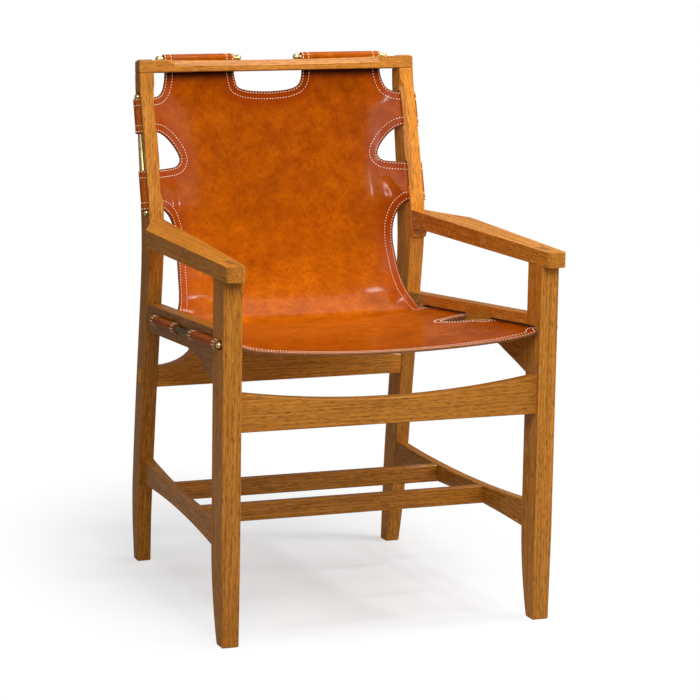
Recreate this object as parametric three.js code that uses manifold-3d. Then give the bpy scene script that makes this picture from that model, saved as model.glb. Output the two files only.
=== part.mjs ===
// A dining armchair: an oiled oak frame carries one leather sling, which is looped round six brass rods.
// Millimetres, +Z up, +X to the right seen from the front, and the sitter faces -Y.
// The origin is on the floor, under the middle of the chair.
import * as THREE from 'three';
import { mergeVertices } from 'three/addons/utils/BufferGeometryUtils.js';
import Module from 'manifold-3d';

const wasm = await Module();
wasm.setup();

// Whole chair. Heights start at the floor, and depths start at the front legs' front faces.
const chairHeight = 876.2;
const frontHalfWidth = 284.2;
const rearHalfWidth = 251.4;
const chairDepth = 587.3;
const fitGap = 0.3;
const ease = 1.2;
const overrun = 30;

// Front legs
const frontLegWidth = 30.9;
const frontLegDepth = 52.6;
const frontTaperHeight = 150;
const frontFootDepth = 27.2;
const frontFootWidth = 28.2;
const frontFootInset = 1.7;
const frontFootSetback = 0.8;
const frontTaperSteps = 7;

// Rear legs, which rise past the seat as back posts
const postWidth = 25.7;
const postFootWidth = 24.3;
const postFootInset = 4.7;
const postTopInset = 1.4;
const postSweep = 106.6;
const postTurn = 0.051;
const postSteps = 26;
const postChamferWidth = 7.5;
const chamferRunout = 14;
// Heights as shares of the chair's height, and how far the front and rear faces stand
// ahead of the rearmost point, as shares of the sweep
const postFrontShares = [
  [0, 0.247], [0.0685, 0.324], [0.16, 0.432], [0.342, 0.63], [0.536, 0.87], [0.622, 0.965],
  [0.685, 1], [0.776, 0.828], [0.867, 0.618], [0.936, 0.442], [1, 0.359],
];
const postRearShares = [
  [0, 0.011], [0.0685, 0], [0.16, 0.025], [0.342, 0.192], [0.536, 0.406], [0.622, 0.462],
  [0.685, 0.435], [0.776, 0.342], [0.867, 0.212], [0.936, 0.107], [1, 0.079],
];
const postInsetShares = [[0, 1], [0.08, 0.3], [0.16, 0], [0.7, 0], [1, 0]];
// The chamfer's ends, as shares of the height from the arm to the top rail
const postChamferLowShare = 0.1117;
const postChamferHighShare = 0.9264;

// Top rail, whose section leans back with the posts and whose top is hollowed between the chamfer's ends
const topRailHeight = 20.6;
const topRailSlopeShare = 0.14;
const topRailHollow = 2.2;
const topRailSteps = 6;
const topChamfer = 10;
const topChamferInset = 49.9;
const topTenonWidth = 20;
const topTenonDepth = 22;
const topTenonProud = 1.5;
const topTenonOutset = 4;

// Arms
const armOverhang = 22.7;
const armTipTop = 611;
const armTipUnder = 586.5;
const armRearTop = 613;
const armRearUnder = 583.9;
const armTipInnerInset = 1.4;
const armTipOuterFlare = 2.7;
const armElbowFlare = 8;
const armTipRound = 8.5;
const armHaunchLength = 25;
const armHaunchDrop = 18;
const armHaunchToe = 3;
const armCurveSteps = 6;
const armTenonWidth = 12;
const armTenonDepth = 30;
const armTenonSetback = 11;
const armTenonInset = 12;
const armElbowAlongShare = 0.7813;
const armElbowShares = [[0, 0], [0.2, 0.24], [0.43, 0.475], [0.65, 0.715], [0.83, 0.87], [1, 1]];

// Side rails
const sideRailThickness = 24.5;
const sideRailFrontTop = 501.3;
const sideRailSlope = 0.0771;
const sideRailHeight = 47.4;
const bracketLength = 182;
const bracketDrop = 50;
const bracketSteps = 12;
const bracketShares = [
  [0, 1], [0.04, 0.942], [0.22, 0.677], [0.39, 0.449], [0.55, 0.23], [0.81, 0.072], [1, 0],
];

// Front rail
const frontRailThickness = 24;
const frontRailSetback = 7;
const frontRailUnder = 343.9;
const frontRailEndHeight = 61.9;
const frontRailDip = 20.2;
const frontRailSteps = 16;

// Rear rail
const rearRailThickness = 26;
const rearRailSetback = 1;
const rearRailUnder = 317.5;
const rearRailEndHeight = 35;
const rearRailRise = 38;
const rearRailCove = 66;
const rearRailSteps = 7;

// Tenons of the rails
const throughTenonThickness = 17;
const throughTenonInset = 7.2;
const throughTenonProud = 1;
const blindTenonLength = 22;
const blindTenonShare = 0.36;
const tenonShoulder = 9;
const tenonRoot = 6;

// Stretchers
const sideStretcherThickness = 16;
const sideStretcherInset = 10.1;
const sideStretcherRearInset = 8.2;
const sideStretcherMiddle = 167;
const sideStretcherWaist = 27.6;
const sideStretcherFlare = 9.5;
const sideStretcherSteps = 12;
const crossStretcherThickness = 17;
const crossStretcherLow = 152;
const crossStretcherHigh = 181;
const crossTenonLength = 9;
// Where the cross stretchers' front faces stand, as shares of the side stretchers' length
const crossFrontShare = 0.3018;
const crossRearShare = 0.6543;

// Brass rods and the leather loops round them
const rodRadius = 4.4;
const leather = 3.2;
const roundSides = 16;
const ballRadius = 5.4;
const ballSteps = 5;
const knobNeck = 2.2;

// Slots and grooves for the leather
const slotWidth = 8;
const slotMargin = 3;
const slotSetback = 9.5;
const slotEndSteps = 5;
const railSlotDrop = 21.6;
const slotSettle = 1.8;
const topSlotSetback = 20.5;
const grooveEase = 2;

// Leather sling
const seatEdgeSetback = 6;
const frontTabSetback = 20.8;
const topTabInset = 28.2;
const topTabSkew = 2.5;
const topNotchHalf = 62.2;
const topNotchOffset = -12.8;
const topNotchDepth = 38.8;
const backSag = 35;
const seatSag = 23;
const moonDepth = 44;
const waistDepth = 27.4;
const seatNotchDepth = 54;
// Its tabs, as shares of the height from the arm to the top rail, and of the side rail's length
const upperTabLowShare = 0.5893;
const upperTabHighShare = 0.825;
const lowerTabLowShare = 0.0662;
const lowerTabHighShare = 0.335;
const frontTabRearShare = 0.279;
const rearTabFrontShare = 0.4841;
const rearTabRearShare = 0.8467;
// Where the columns of the sheet stand, as shares of half the clear width, and how the sag fades.
// Near the seat's front edge a part of the rise is steep, close to the legs, and the free corners droop.
const columnShares = [0, 0.42, 0.7, 0.88, 0.965, 1];
const backFadeShare = 4;
const seatFadeShare = 2.4;
const edgeFadeShare = 2;
const rimFadeShare = 12;
const rimPartShare = 0.3;
const rimReach = 84;
const cornerDroop = 2.5;

// Where the rods lie, and how far they and the loops round them reach
const postTabTuck = 1.6;
const postRodSetback = 17.4;
const postRodProud = 1.3;
const seatRodProud = 6.2;
const seatRodLift = 1;
const loopLap = 3;
const postLoopDrop = 2.8;
const rearLoopInset = 11;
const rearLoopTuck = 4;
const topRodShift = 3.3;
const rodTop = 13;
const rodPost = 8.5;
const rodSeat = 10;

// Small tools
const up = (share, from, to) => from + share * (to - from);
const smooth = (share) => share * share * (3 - 2 * share);
const clamp = (value) => Math.min(1, Math.max(0, value));
const steps = (count) => Array.from({ length: count + 1 }, (_, i) => i / count);

// A smooth curve through stations of [place, value], given back as a function of the place
function through(stations) {
  const last = stations.length - 1;
  const slopes = stations.map((_, i) => {
    const before = stations[Math.max(i - 1, 0)];
    const after = stations[Math.min(i + 1, last)];
    return (after[1] - before[1]) / (after[0] - before[0]);
  });
  return (place) => {
    const found = stations.findIndex((station) => station[0] >= place);
    const next = found < 1 ? (found === 0 ? 1 : last) : found;
    const [from, to] = [stations[next - 1], stations[next]];
    const span = to[0] - from[0];
    const t = clamp((place - from[0]) / span);
    const rise = to[1] - from[1];
    const [leaving, arriving] = [slopes[next - 1] * span - rise, slopes[next] * span - rise];
    return from[1] + t * rise + t * (1 - t) * ((1 - t) * leaving - t * arriving);
  };
}

// A closed body from points and triangles, turned so that its faces point out
function closedBody(points, triangles) {
  let volume = 0;
  for (const [a, b, c] of triangles) {
    volume += points[a].dot(new THREE.Vector3().crossVectors(points[b], points[c]));
  }
  const index = triangles.flatMap(([a, b, c]) => (volume > 0 ? [a, b, c] : [a, c, b]));
  const geometry = new THREE.BufferGeometry().setFromPoints(points);
  geometry.setIndex(index);
  return solidOf(geometry);
}

function welded(geometry) {
  const bare = geometry.clone();
  bare.deleteAttribute('normal');
  bare.deleteAttribute('uv');
  return mergeVertices(bare);
}

function solidOf(geometry) {
  const merged = welded(geometry);
  return new wasm.Manifold(new wasm.Mesh({
    numProp: 3,
    vertProperties: new Float32Array(merged.attributes.position.array),
    triVerts: new Uint32Array(merged.index.array),
  }));
}

function geometryOf(solid) {
  const mesh = solid.getMesh();
  const geometry = new THREE.BufferGeometry();
  geometry.setAttribute('position', new THREE.BufferAttribute(new Float32Array(mesh.vertProperties), 3));
  geometry.setIndex(new THREE.BufferAttribute(new Uint32Array(mesh.triVerts), 1));
  return geometry;
}

// The same solid after a matrix, with its faces turned back where the matrix mirrors it
function moved(solid, matrix) {
  const geometry = geometryOf(solid).applyMatrix4(matrix);
  if (matrix.determinant() < 0) {
    const index = geometry.index.array;
    for (let i = 0; i < index.length; i += 3) {
      [index[i], index[i + 1]] = [index[i + 1], index[i]];
    }
  }
  return solidOf(geometry);
}

const mirrored = (solid) => moved(solid, new THREE.Matrix4().makeScale(-1, 1, 1));

// A body through rings of points, each ring convex, with flat ends
function loft(rings) {
  const size = rings[0].length;
  const last = (rings.length - 1) * size;
  const triangles = [];
  for (let low = 0; low < last; low += size) {
    for (let k = 0; k < size; k += 1) {
      const next = (k + 1) % size;
      triangles.push([low + k, low + next, low + size + next]);
      triangles.push([low + k, low + size + next, low + size + k]);
    }
  }
  for (let k = 1; k + 1 < size; k += 1) {
    triangles.push([0, k + 1, k]);
    triangles.push([last, last + k, last + k + 1]);
  }
  return closedBody(rings.flat(), triangles);
}

// The eight points of a four-cornered section, each corner cut off by its own amount
function easedSection(corners, cuts) {
  return corners.flatMap((corner, i) => {
    const before = corners[(i + 3) % 4];
    const after = corners[(i + 1) % 4];
    return [before, after].map((other) => {
      const way = new THREE.Vector2().subVectors(other, corner).normalize();
      return corner.clone().addScaledVector(way, cuts[i]);
    });
  });
}

// A ring drawn in towards its own middle by the ease
function drawnIn(ring) {
  const middle = ring.reduce((sum, point) => sum.add(point), new THREE.Vector3()).divideScalar(ring.length);
  const inward = (value, centre) => {
    const offset = value - centre;
    return value - Math.sign(offset) * Math.min(ease, Math.abs(offset));
  };
  return ring.map((p) => (
    new THREE.Vector3(inward(p.x, middle.x), inward(p.y, middle.y), inward(p.z, middle.z))
  ));
}

// Extrusions of an outline along one axis. An outline is a list of [first, second] places:
// along X it holds Y and Z, along Y it holds X and Z, and along Z it holds X and Y.
const turns = {
  x: new THREE.Matrix4().makeBasis(
    new THREE.Vector3(0, 1, 0), new THREE.Vector3(0, 0, 1), new THREE.Vector3(1, 0, 0)),
  y: new THREE.Matrix4().makeBasis(
    new THREE.Vector3(1, 0, 0), new THREE.Vector3(0, 0, 1), new THREE.Vector3(0, -1, 0)),
  z: new THREE.Matrix4(),
};

function prism(axis, outline, from, to, arris = 0) {
  const shape = new THREE.Shape(outline.map(([first, second]) => new THREE.Vector2(first, second)));
  const geometry = new THREE.ExtrudeGeometry(shape, {
    depth: to - from - 2 * arris,
    bevelEnabled: arris > 0,
    bevelThickness: arris,
    bevelSize: arris,
    bevelOffset: -arris,
    bevelSegments: 1,
  });
  geometry.translate(0, 0, arris + (axis === 'y' ? -to : from));
  return solidOf(geometry.applyMatrix4(turns[axis]));
}

function block(x0, x1, y0, y1, z0, z1) {
  return prism('z', [[x0, y0], [x1, y0], [x1, y1], [x0, y1]], z0, z1);
}

// A round body about a straight line between two points, from a closed or axis-to-axis profile
// of [radius, distance from the first point]
function turned(profile, from, to) {
  const geometry = new THREE.LatheGeometry(profile.map(([r, d]) => new THREE.Vector2(r, d)), roundSides);
  const way = new THREE.Vector3().subVectors(to, from).normalize();
  const turn = new THREE.Quaternion().setFromUnitVectors(new THREE.Vector3(0, 1, 0), way);
  const matrix = new THREE.Matrix4().compose(from, turn, new THREE.Vector3(1, 1, 1));
  return closedLathe(geometry.applyMatrix4(matrix));
}

// A lathe's mesh as a body, without the triangles that collapse on its axis
function closedLathe(geometry) {
  const merged = welded(geometry);
  const { array } = merged.attributes.position;
  const count = array.length / 3;
  const points = Array.from({ length: count }, (_, i) => new THREE.Vector3().fromArray(array, 3 * i));
  const index = Array.from(merged.index.array);
  const triangles = [];
  for (let i = 0; i < index.length; i += 3) {
    const triangle = index.slice(i, i + 3);
    if (new Set(triangle).size === 3) {
      triangles.push(triangle);
    }
  }
  return closedBody(points, triangles);
}

// The frame's faces, as functions of the height or the depth
const topRailUnder = chairHeight - topRailHeight;
const alongPost = (share) => up(share, armRearTop, topRailUnder);
const postFrontShare = through(postFrontShares);
const postRearShare = through(postRearShares);
const postInsetShare = through(postInsetShares);
const postFront = (z) => chairDepth - postSweep * postFrontShare(z / chairHeight);
const postRear = (z) => chairDepth - postSweep * postRearShare(z / chairHeight);
const postOuter = (z) => rearHalfWidth - postFootInset * postInsetShare(z / chairHeight)
  - postTopInset * clamp((z - armRearTop) / (chairHeight - armRearTop));
const postInner = (z) => postOuter(z) - up(postInsetShare(z / chairHeight), postWidth, postFootWidth);
const postShift = (y, z) => (y - postFront(z)) * Math.tan(postTurn);
const postChamfer = { low: alongPost(postChamferLowShare), high: alongPost(postChamferHighShare) };
const topFace = (y) => chairHeight - topRailSlopeShare * (y - postFront(chairHeight));
const underFace = (y) => topRailUnder - topRailSlopeShare * (y - postFront(topRailUnder));

const frontLegInner = frontHalfWidth - frontLegWidth;
const frontTaper = (z) => clamp(1 - z / frontTaperHeight);
const frontFootRear = frontFootSetback + frontFootDepth;
const frontLegRear = (z) => up(frontTaper(z) ** 2, frontLegDepth, frontFootRear);

const armRearY = postFront(armRearTop);
const alongArm = (y, tip, rear) => up((y + armOverhang) / (armRearY + armOverhang), tip, rear);
const armTop = (y) => alongArm(y, armTipTop, armRearTop);
const armUnder = (y) => alongArm(y, armTipUnder, armRearUnder);

// The side rails run from the front leg's inner face to the post's inner face
const sideRailRearY = postFront(sideRailFrontTop - sideRailSlope * chairDepth);
const inPlan = (y, front, rear) => up((y - frontLegDepth) / (sideRailRearY - frontLegDepth), front, rear);
const railInner = (y) => inPlan(y, frontLegInner, rearHalfWidth - postWidth);
const railOuter = (y) => railInner(y) + sideRailThickness;
const railTop = (y) => sideRailFrontTop - sideRailSlope * (y - frontLegDepth);
const bracketShare = through(bracketShares);
const alongBracket = (y) => clamp((y - frontLegDepth) / bracketLength);
const railUnder = (y) => railTop(y) - sideRailHeight - bracketDrop * bracketShare(alongBracket(y));

// The sling's tabs, by height on the posts, by depth on the seat and by half width on the top rail
const alongRail = (share) => up(share, frontLegDepth, sideRailRearY);
const upperTab = { low: alongPost(upperTabLowShare), high: alongPost(upperTabHighShare) };
const lowerTab = { low: alongPost(lowerTabLowShare), high: alongPost(lowerTabHighShare) };
const frontTab = { front: frontTabSetback, rear: alongRail(frontTabRearShare) };
const rearTab = { front: alongRail(rearTabFrontShare), rear: alongRail(rearTabRearShare) };
const topTabOuter = rearHalfWidth - postWidth - topTabInset;

// The leather passes the posts and the rails along these lines
const postSlotY = (z) => postFront(z) + slotSetback;
const railSlotZ = (y) => railTop(y) - railSlotDrop;
const leatherZ = (y) => railSlotZ(y) - slotSettle;
const topSlotY = postFront(topRailUnder) + topSlotSetback;
const loopRadius = rodRadius + fitGap + leather;
const clearX = (y) => (y < frontLegDepth ? frontLegInner : railInner(y));

// Rod axes. The rods lie in grooves, which leave part of each loop proud of the wood.
const topRodZ = chairHeight - fitGap;
const alongPostRod = (z, low, high) => up((z - lowerTab.low) / (upperTab.high - lowerTab.low), low, high);
const behindFront = (z) => postFront(z) + postRodSetback;
const besidePost = (z) => postOuter(z) - postShift(behindFront(z), z) + postRodProud;
const postRodX = (z) => alongPostRod(z, besidePost(lowerTab.low), besidePost(upperTab.high));
const postRodY = (z) => alongPostRod(z, behindFront(lowerTab.low), behindFront(upperTab.high));
const seatRodX = (y) => railOuter(y) + seatRodProud;
const seatRodZ = (y) => railSlotZ(y) + seatRodLift;

// A slot with round ends along a straight line in the YZ plane, cut along X as far as its reach
function slotCutter(from, to, reach) {
  const way = new THREE.Vector2(to[0] - from[0], to[1] - from[1]).normalize();
  const start = Math.atan2(way.y, way.x);
  const end = (centre, angle) => steps(slotEndSteps).map((share) => {
    const at = angle + up(share, -Math.PI / 2, Math.PI / 2);
    return [centre[0] + (slotWidth / 2) * Math.cos(at), centre[1] + (slotWidth / 2) * Math.sin(at)];
  });
  const inset = slotWidth / 2 - slotMargin;
  const near = [from[0] + way.x * inset, from[1] + way.y * inset];
  const far = [to[0] - way.x * inset, to[1] - way.y * inset];
  return prism('x', [...end(far, start), ...end(near, start + Math.PI)], 0, reach);
}

const railSlot = (tab) => slotCutter(
  [tab.front, railSlotZ(tab.front)], [tab.rear, railSlotZ(tab.rear)], frontHalfWidth + overrun,
);
const postSlot = (tab) => slotCutter(
  [postSlotY(tab.low), tab.low], [postSlotY(tab.high), tab.high], postRodX(tab.high) - rodRadius,
);

// Tenons are blocks, and a mortise is its tenon with the gap all round. A fall lowers the top's far side.
const tenonOf = (t) => prism(
  'x', [[t.y0, t.z0], [t.y1, t.z0], [t.y1, t.z1 - (t.fall ?? 0)], [t.y0, t.z1]], t.x0, t.x1,
);
const mortiseOf = (t) => block(
  t.x0 - fitGap, t.x1 + fitGap, t.y0 - fitGap, t.y1 + fitGap, t.z0 - fitGap, t.z1 + fitGap,
);

// The legs lean, so a rail between the rear legs is sheared by the same lean about its own middle height
const rearRailMiddle = rearRailUnder + rearRailEndHeight / 2;
const rearRailEndTop = rearRailUnder + rearRailEndHeight;
const rearLean = (postFront(rearRailEndTop) - postFront(rearRailUnder)) / rearRailEndHeight;
const leanMatrix = new THREE.Matrix4().set(
  1, 0, 0, 0,
  0, 1, rearLean, -rearLean * rearRailMiddle,
  0, 0, 1, 0,
  0, 0, 0, 1,
);

// Boards along the chair's sides follow its plan taper: a shear of X with Y
function planShear(slope, y) {
  return new THREE.Matrix4().set(
    1, slope, 0, -slope * y,
    0, 1, 0, 0,
    0, 0, 1, 0,
    0, 0, 0, 1,
  );
}

const sideRailLength = sideRailRearY - frontLegDepth;
const sidePlanSlope = (railInner(sideRailRearY) - railInner(frontLegDepth)) / sideRailLength;

// Tenons, in the right half of the chair
const armTenon = {
  x0: frontHalfWidth - armTenonInset - armTenonWidth + fitGap,
  x1: frontHalfWidth - armTenonInset + fitGap,
  y0: armTenonSetback,
  y1: armTenonSetback + armTenonDepth,
};
const topTenon = {
  x1: postOuter(topRailUnder) - topTenonOutset,
  x0: postOuter(topRailUnder) - topTenonOutset - topTenonWidth,
  y0: postFront(chairHeight) + topTenonOutset,
  y1: postFront(chairHeight) + topTenonOutset + topTenonDepth,
  z0: topRailUnder - tenonRoot,
  z1: topFace(postFront(chairHeight) + topTenonOutset) + topTenonProud,
  fall: topRailSlopeShare * topTenonDepth,
};
const frontRailTenon = {
  x0: frontLegInner - tenonRoot,
  x1: frontHalfWidth + throughTenonProud,
  y0: frontRailSetback + (frontRailThickness - throughTenonThickness) / 2,
  y1: frontRailSetback + (frontRailThickness + throughTenonThickness) / 2,
  z0: frontRailUnder + throughTenonInset,
  z1: frontRailUnder + frontRailEndHeight - throughTenonInset - tenonShoulder / 2,
};
const rearRailFront = postFront(rearRailMiddle) + rearRailSetback;
const rearRailTenon = {
  x0: postInner(rearRailMiddle) - tenonRoot,
  x1: postOuter(rearRailMiddle) + throughTenonProud,
  y0: rearRailFront + tenonShoulder,
  y1: rearRailFront + tenonShoulder + throughTenonThickness,
  z0: rearRailUnder + throughTenonInset,
  z1: rearRailUnder + rearRailEndHeight - throughTenonInset / 2,
};
const armRearTenon = {
  x0: rearHalfWidth - (postWidth * (1 + blindTenonShare)) / 2,
  x1: rearHalfWidth - (postWidth * (1 - blindTenonShare)) / 2,
  y0: armRearY - tenonRoot,
  y1: armRearY + blindTenonLength,
  z0: armUnder(armRearY) - armHaunchDrop / 2,
  z1: armTop(armRearY) - tenonShoulder,
};

// Blind tenons of a side rail and a side stretcher, before their plan shear about one depth
function sideTenons(inner, thickness, low, high, frontY, rearY) {
  const x0 = inner + (thickness * (1 - blindTenonShare)) / 2;
  const x1 = inner + (thickness * (1 + blindTenonShare)) / 2;
  return [
    { x0, x1, y0: frontY - blindTenonLength, y1: frontY + tenonRoot, z0: low.front, z1: high.front },
    { x0, x1, y0: rearY - 2 * tenonRoot, y1: rearY + blindTenonLength, z0: low.rear, z1: high.rear },
  ];
}

const sideRailTenons = sideTenons(
  railInner(frontLegDepth), sideRailThickness,
  { front: railUnder(frontLegDepth) + tenonShoulder, rear: railUnder(sideRailRearY) + tenonShoulder },
  {
    front: railSlotZ(frontLegDepth) - slotWidth / 2 - tenonShoulder,
    rear: railTop(sideRailRearY) - tenonShoulder,
  },
  frontLegDepth, sideRailRearY,
);

const stretcherRearY = postFront(sideStretcherMiddle);
const stretcherOuterFront = frontHalfWidth - sideStretcherInset;
const stretcherOuterRear = rearHalfWidth - sideStretcherRearInset;
const stretcherSlope = (stretcherOuterRear - stretcherOuterFront) / (stretcherRearY - frontLegDepth);
const stretcherOuter = (y) => stretcherOuterFront + stretcherSlope * (y - frontLegDepth);
const stretcherInner = (y) => stretcherOuter(y) - sideStretcherThickness;
const alongStretcher = (y) => (y - frontLegDepth) / (stretcherRearY - frontLegDepth);
const stretcherFlare = (y) => sideStretcherFlare * (2 * alongStretcher(y) - 1) ** 2;
const crossStretcherFronts = {
  front: up(crossFrontShare, frontLegDepth, stretcherRearY),
  rear: up(crossRearShare, frontLegDepth, stretcherRearY),
};
const stretcherTenonLow = sideStretcherMiddle - sideStretcherWaist / 2;
const stretcherTenonHigh = sideStretcherMiddle + sideStretcherWaist / 2;
const sideStretcherTenons = sideTenons(
  stretcherInner(frontLegDepth), sideStretcherThickness,
  { front: stretcherTenonLow, rear: stretcherTenonLow },
  { front: stretcherTenonHigh, rear: stretcherTenonHigh },
  frontLegDepth, stretcherRearY,
);

function crossTenon(front) {
  const inner = stretcherInner(front + crossStretcherThickness / 2);
  return {
    x0: inner - tenonRoot,
    x1: inner + crossTenonLength,
    y0: front + (crossStretcherThickness * (1 - blindTenonShare)) / 2,
    y1: front + (crossStretcherThickness * (1 + blindTenonShare)) / 2,
    z0: crossStretcherLow + tenonShoulder / 2,
    z1: crossStretcherHigh - tenonShoulder / 2,
  };
}

// Wooden pieces, each as its right-hand one
function frontLeg() {
  const levels = [...steps(frontTaperSteps).map((share) => share * frontTaperHeight), armTipUnder];
  const ring = (z) => {
    const outer = frontHalfWidth - frontFootInset * frontTaper(z);
    const inner = outer - up(frontTaper(z), frontLegWidth, frontFootWidth);
    const front = frontFootSetback * frontTaper(z);
    const rear = frontLegRear(z);
    const corners = [[inner, front], [outer, front], [outer, rear], [inner, rear]]
      .map(([x, y]) => new THREE.Vector2(x, y));
    return easedSection(corners, [ease, ease, ease, ease])
      .map(({ x, y }) => new THREE.Vector3(x, y, z < armTipUnder ? z : armUnder(y) - fitGap));
  };
  const rings = levels.map(ring);
  const foot = drawnIn(rings[0]);
  const lifted = rings[0].map((point) => point.clone().setZ(ease));
  let leg = loft([foot, lifted, ...rings.slice(1)]);
  const topOutline = [
    [armTenon.y0, armTipUnder - tenonRoot], [armTenon.y1, armTipUnder - tenonRoot],
    [armTenon.y1, armTop(armTenon.y1)], [armTenon.y0, armTop(armTenon.y0)],
  ];
  leg = leg.add(prism('x', topOutline, armTenon.x0, armTenon.x1));
  leg = leg.subtract(mortiseOf(frontRailTenon));
  leg = leg.subtract(moved(mortiseOf(sideRailTenons[0]), planShear(sidePlanSlope, frontLegDepth)));
  leg = leg.subtract(moved(mortiseOf(sideStretcherTenons[0]), planShear(stretcherSlope, frontLegDepth)));
  return leg.subtract(railSlot(frontTab)).subtract(grooveOf('seat_rod_right'));
}

function rearLeg() {
  const even = steps(postSteps).map((share) => share * topRailUnder);
  const chamferLevels = [0, chamferRunout / 2, chamferRunout].flatMap((run) => [
    postChamfer.low + run, postChamfer.high - run,
  ]);
  const clearOfChamfer = (z) => chamferLevels.every((level) => Math.abs(level - z) > chamferRunout / 2);
  const levels = [...even.filter(clearOfChamfer), ...chamferLevels].sort((a, b) => a - b);
  const ring = (z) => {
    const shift = postShift(postRear(z), z);
    const [front, rear, outer, inner] = [postFront(z), postRear(z), postOuter(z), postInner(z)];
    const run = Math.min(z - postChamfer.low, postChamfer.high - z) / chamferRunout;
    const chamfer = up(smooth(clamp(run)), ease, postChamferWidth);
    const corners = [[outer, front], [inner, front], [inner - shift, rear], [outer - shift, rear]]
      .map(([x, y]) => new THREE.Vector2(x, y));
    return easedSection(corners, [ease, chamfer, ease, ease]).map(({ x, y }) => new THREE.Vector3(x, y, z));
  };
  const rings = levels.map(ring);
  const foot = drawnIn(rings[0]);
  const lifted = rings[0].map((point) => point.clone().setZ(ease));
  const top = rings[rings.length - 1].map((point) => point.clone().setZ(underFace(point.y) - fitGap));
  let leg = loft([foot, lifted, ...rings.slice(1, -1), top]);
  leg = leg.add(tenonOf(topTenon));
  leg = leg.subtract(moved(mortiseOf(rearRailTenon), leanMatrix));
  leg = leg.subtract(mortiseOf(armRearTenon));
  leg = leg.subtract(moved(mortiseOf(sideRailTenons[1]), planShear(sidePlanSlope, frontLegDepth)));
  leg = leg.subtract(moved(mortiseOf(sideStretcherTenons[1]), planShear(stretcherSlope, frontLegDepth)));
  return leg.subtract(postSlot(upperTab)).subtract(postSlot(lowerTab)).subtract(grooveOf('back_rod_right'));
}

function arm() {
  const tipInner = frontLegInner + armTipInnerInset;
  const tipOuter = frontHalfWidth + armTipOuterFlare;
  const elbow = { x: frontHalfWidth + armElbowFlare, y: armElbowAlongShare * armRearY };
  const corner = (x, y, angle) => steps(armCurveSteps).map((share) => [
    x + armTipRound * Math.cos(angle + share * (Math.PI / 2)),
    y + armTipRound * Math.sin(angle + share * (Math.PI / 2)),
  ]);
  const plan = [
    ...corner(tipInner + armTipRound, armTipRound - armOverhang, Math.PI),
    ...corner(tipOuter - armTipRound, armTipRound - armOverhang, -Math.PI / 2),
    ...armElbowShares.map(([along, inward]) => [
      up(inward, elbow.x, rearHalfWidth), up(along, elbow.y, armRearY),
    ]),
    [rearHalfWidth, armRearY + overrun],
    [rearHalfWidth - postWidth, armRearY + overrun],
    [rearHalfWidth - postWidth, armRearY],
  ];
  const haunchLow = armUnder(armRearY) - armHaunchDrop;
  const haunchFront = postFront(haunchLow) - fitGap - armHaunchLength;
  const rearFace = steps(armCurveSteps).map((share) => {
    const z = up(share, haunchLow, armRearTop);
    return [postFront(z) - fitGap, z];
  });
  const cove = steps(armCurveSteps).map((share) => [
    haunchFront + (armHaunchLength - armHaunchToe) * Math.sin(share * (Math.PI / 2)),
    haunchLow + (armUnder(haunchFront) - haunchLow) * Math.cos(share * (Math.PI / 2)),
  ]);
  const side = [
    [-armOverhang - overrun, armUnder(-armOverhang - overrun)], ...cove, ...rearFace,
    [-armOverhang - overrun, armTop(-armOverhang - overrun)],
  ];
  const outline = prism('z', plan, haunchLow - overrun, armRearTop + overrun);
  let board = prism('x', side, 0, frontHalfWidth + overrun).intersect(outline);
  board = board.add(tenonOf(armRearTenon));
  return board.subtract(block(
    armTenon.x0 - fitGap, armTenon.x1 + fitGap, armTenon.y0 - fitGap, armTenon.y1 + fitGap,
    armTipUnder - overrun, armTipTop + overrun,
  ));
}

function sideRail() {
  const under = steps(bracketSteps).map((share) => {
    const y = frontLegDepth + share * bracketLength;
    return [y, railUnder(y)];
  });
  const rearY = sideRailRearY + overrun;
  const frontY = frontLegDepth - overrun;
  const outline = [
    [frontY, railUnder(frontLegDepth)], ...under, [rearY, railUnder(rearY)], [rearY, railTop(rearY)],
    [frontY, railTop(frontY)],
  ];
  const rearFace = steps(armCurveSteps).map((share) => {
    const z = up(share, railUnder(rearY) - overrun, railTop(rearY) + overrun);
    return [postFront(z) - fitGap, z];
  });
  const low = railUnder(frontLegDepth) - overrun;
  const high = railTop(frontLegDepth) + overrun;
  const shoulders = prism('x', [
    [frontLegDepth + fitGap, low], [rearFace[0][0], low], ...rearFace, [rearFace.at(-1)[0], high],
    [frontLegDepth + fitGap, high],
  ], 0, frontHalfWidth + overrun);
  const inner = railInner(frontLegDepth);
  let rail = prism('x', outline, inner, inner + sideRailThickness, ease).intersect(shoulders);
  sideRailTenons.forEach((tenon) => {
    rail = rail.add(tenonOf(tenon));
  });
  rail = rail.subtract(railSlot(frontTab)).subtract(railSlot(rearTab));
  return moved(rail, planShear(sidePlanSlope, frontLegDepth)).subtract(grooveOf('seat_rod_right'));
}

function frontRail() {
  const half = frontLegInner - fitGap;
  const high = frontRailUnder + frontRailEndHeight;
  const top = steps(frontRailSteps).map((share) => {
    const across = 2 * share - 1;
    return [across * (half + overrun), high - frontRailDip * (1 - (across * (half + overrun) / half) ** 2)];
  });
  const outline = [[half + overrun, frontRailUnder], ...top.reverse(), [-half - overrun, frontRailUnder]];
  const rear = frontRailSetback + frontRailThickness;
  const rail = prism('y', outline, frontRailSetback, rear, ease)
    .intersect(block(-half, half, 0, rear + overrun, frontRailUnder - overrun, high + overrun));
  return rail.add(tenonOf(frontRailTenon)).add(mirrored(tenonOf(frontRailTenon)));
}

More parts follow.
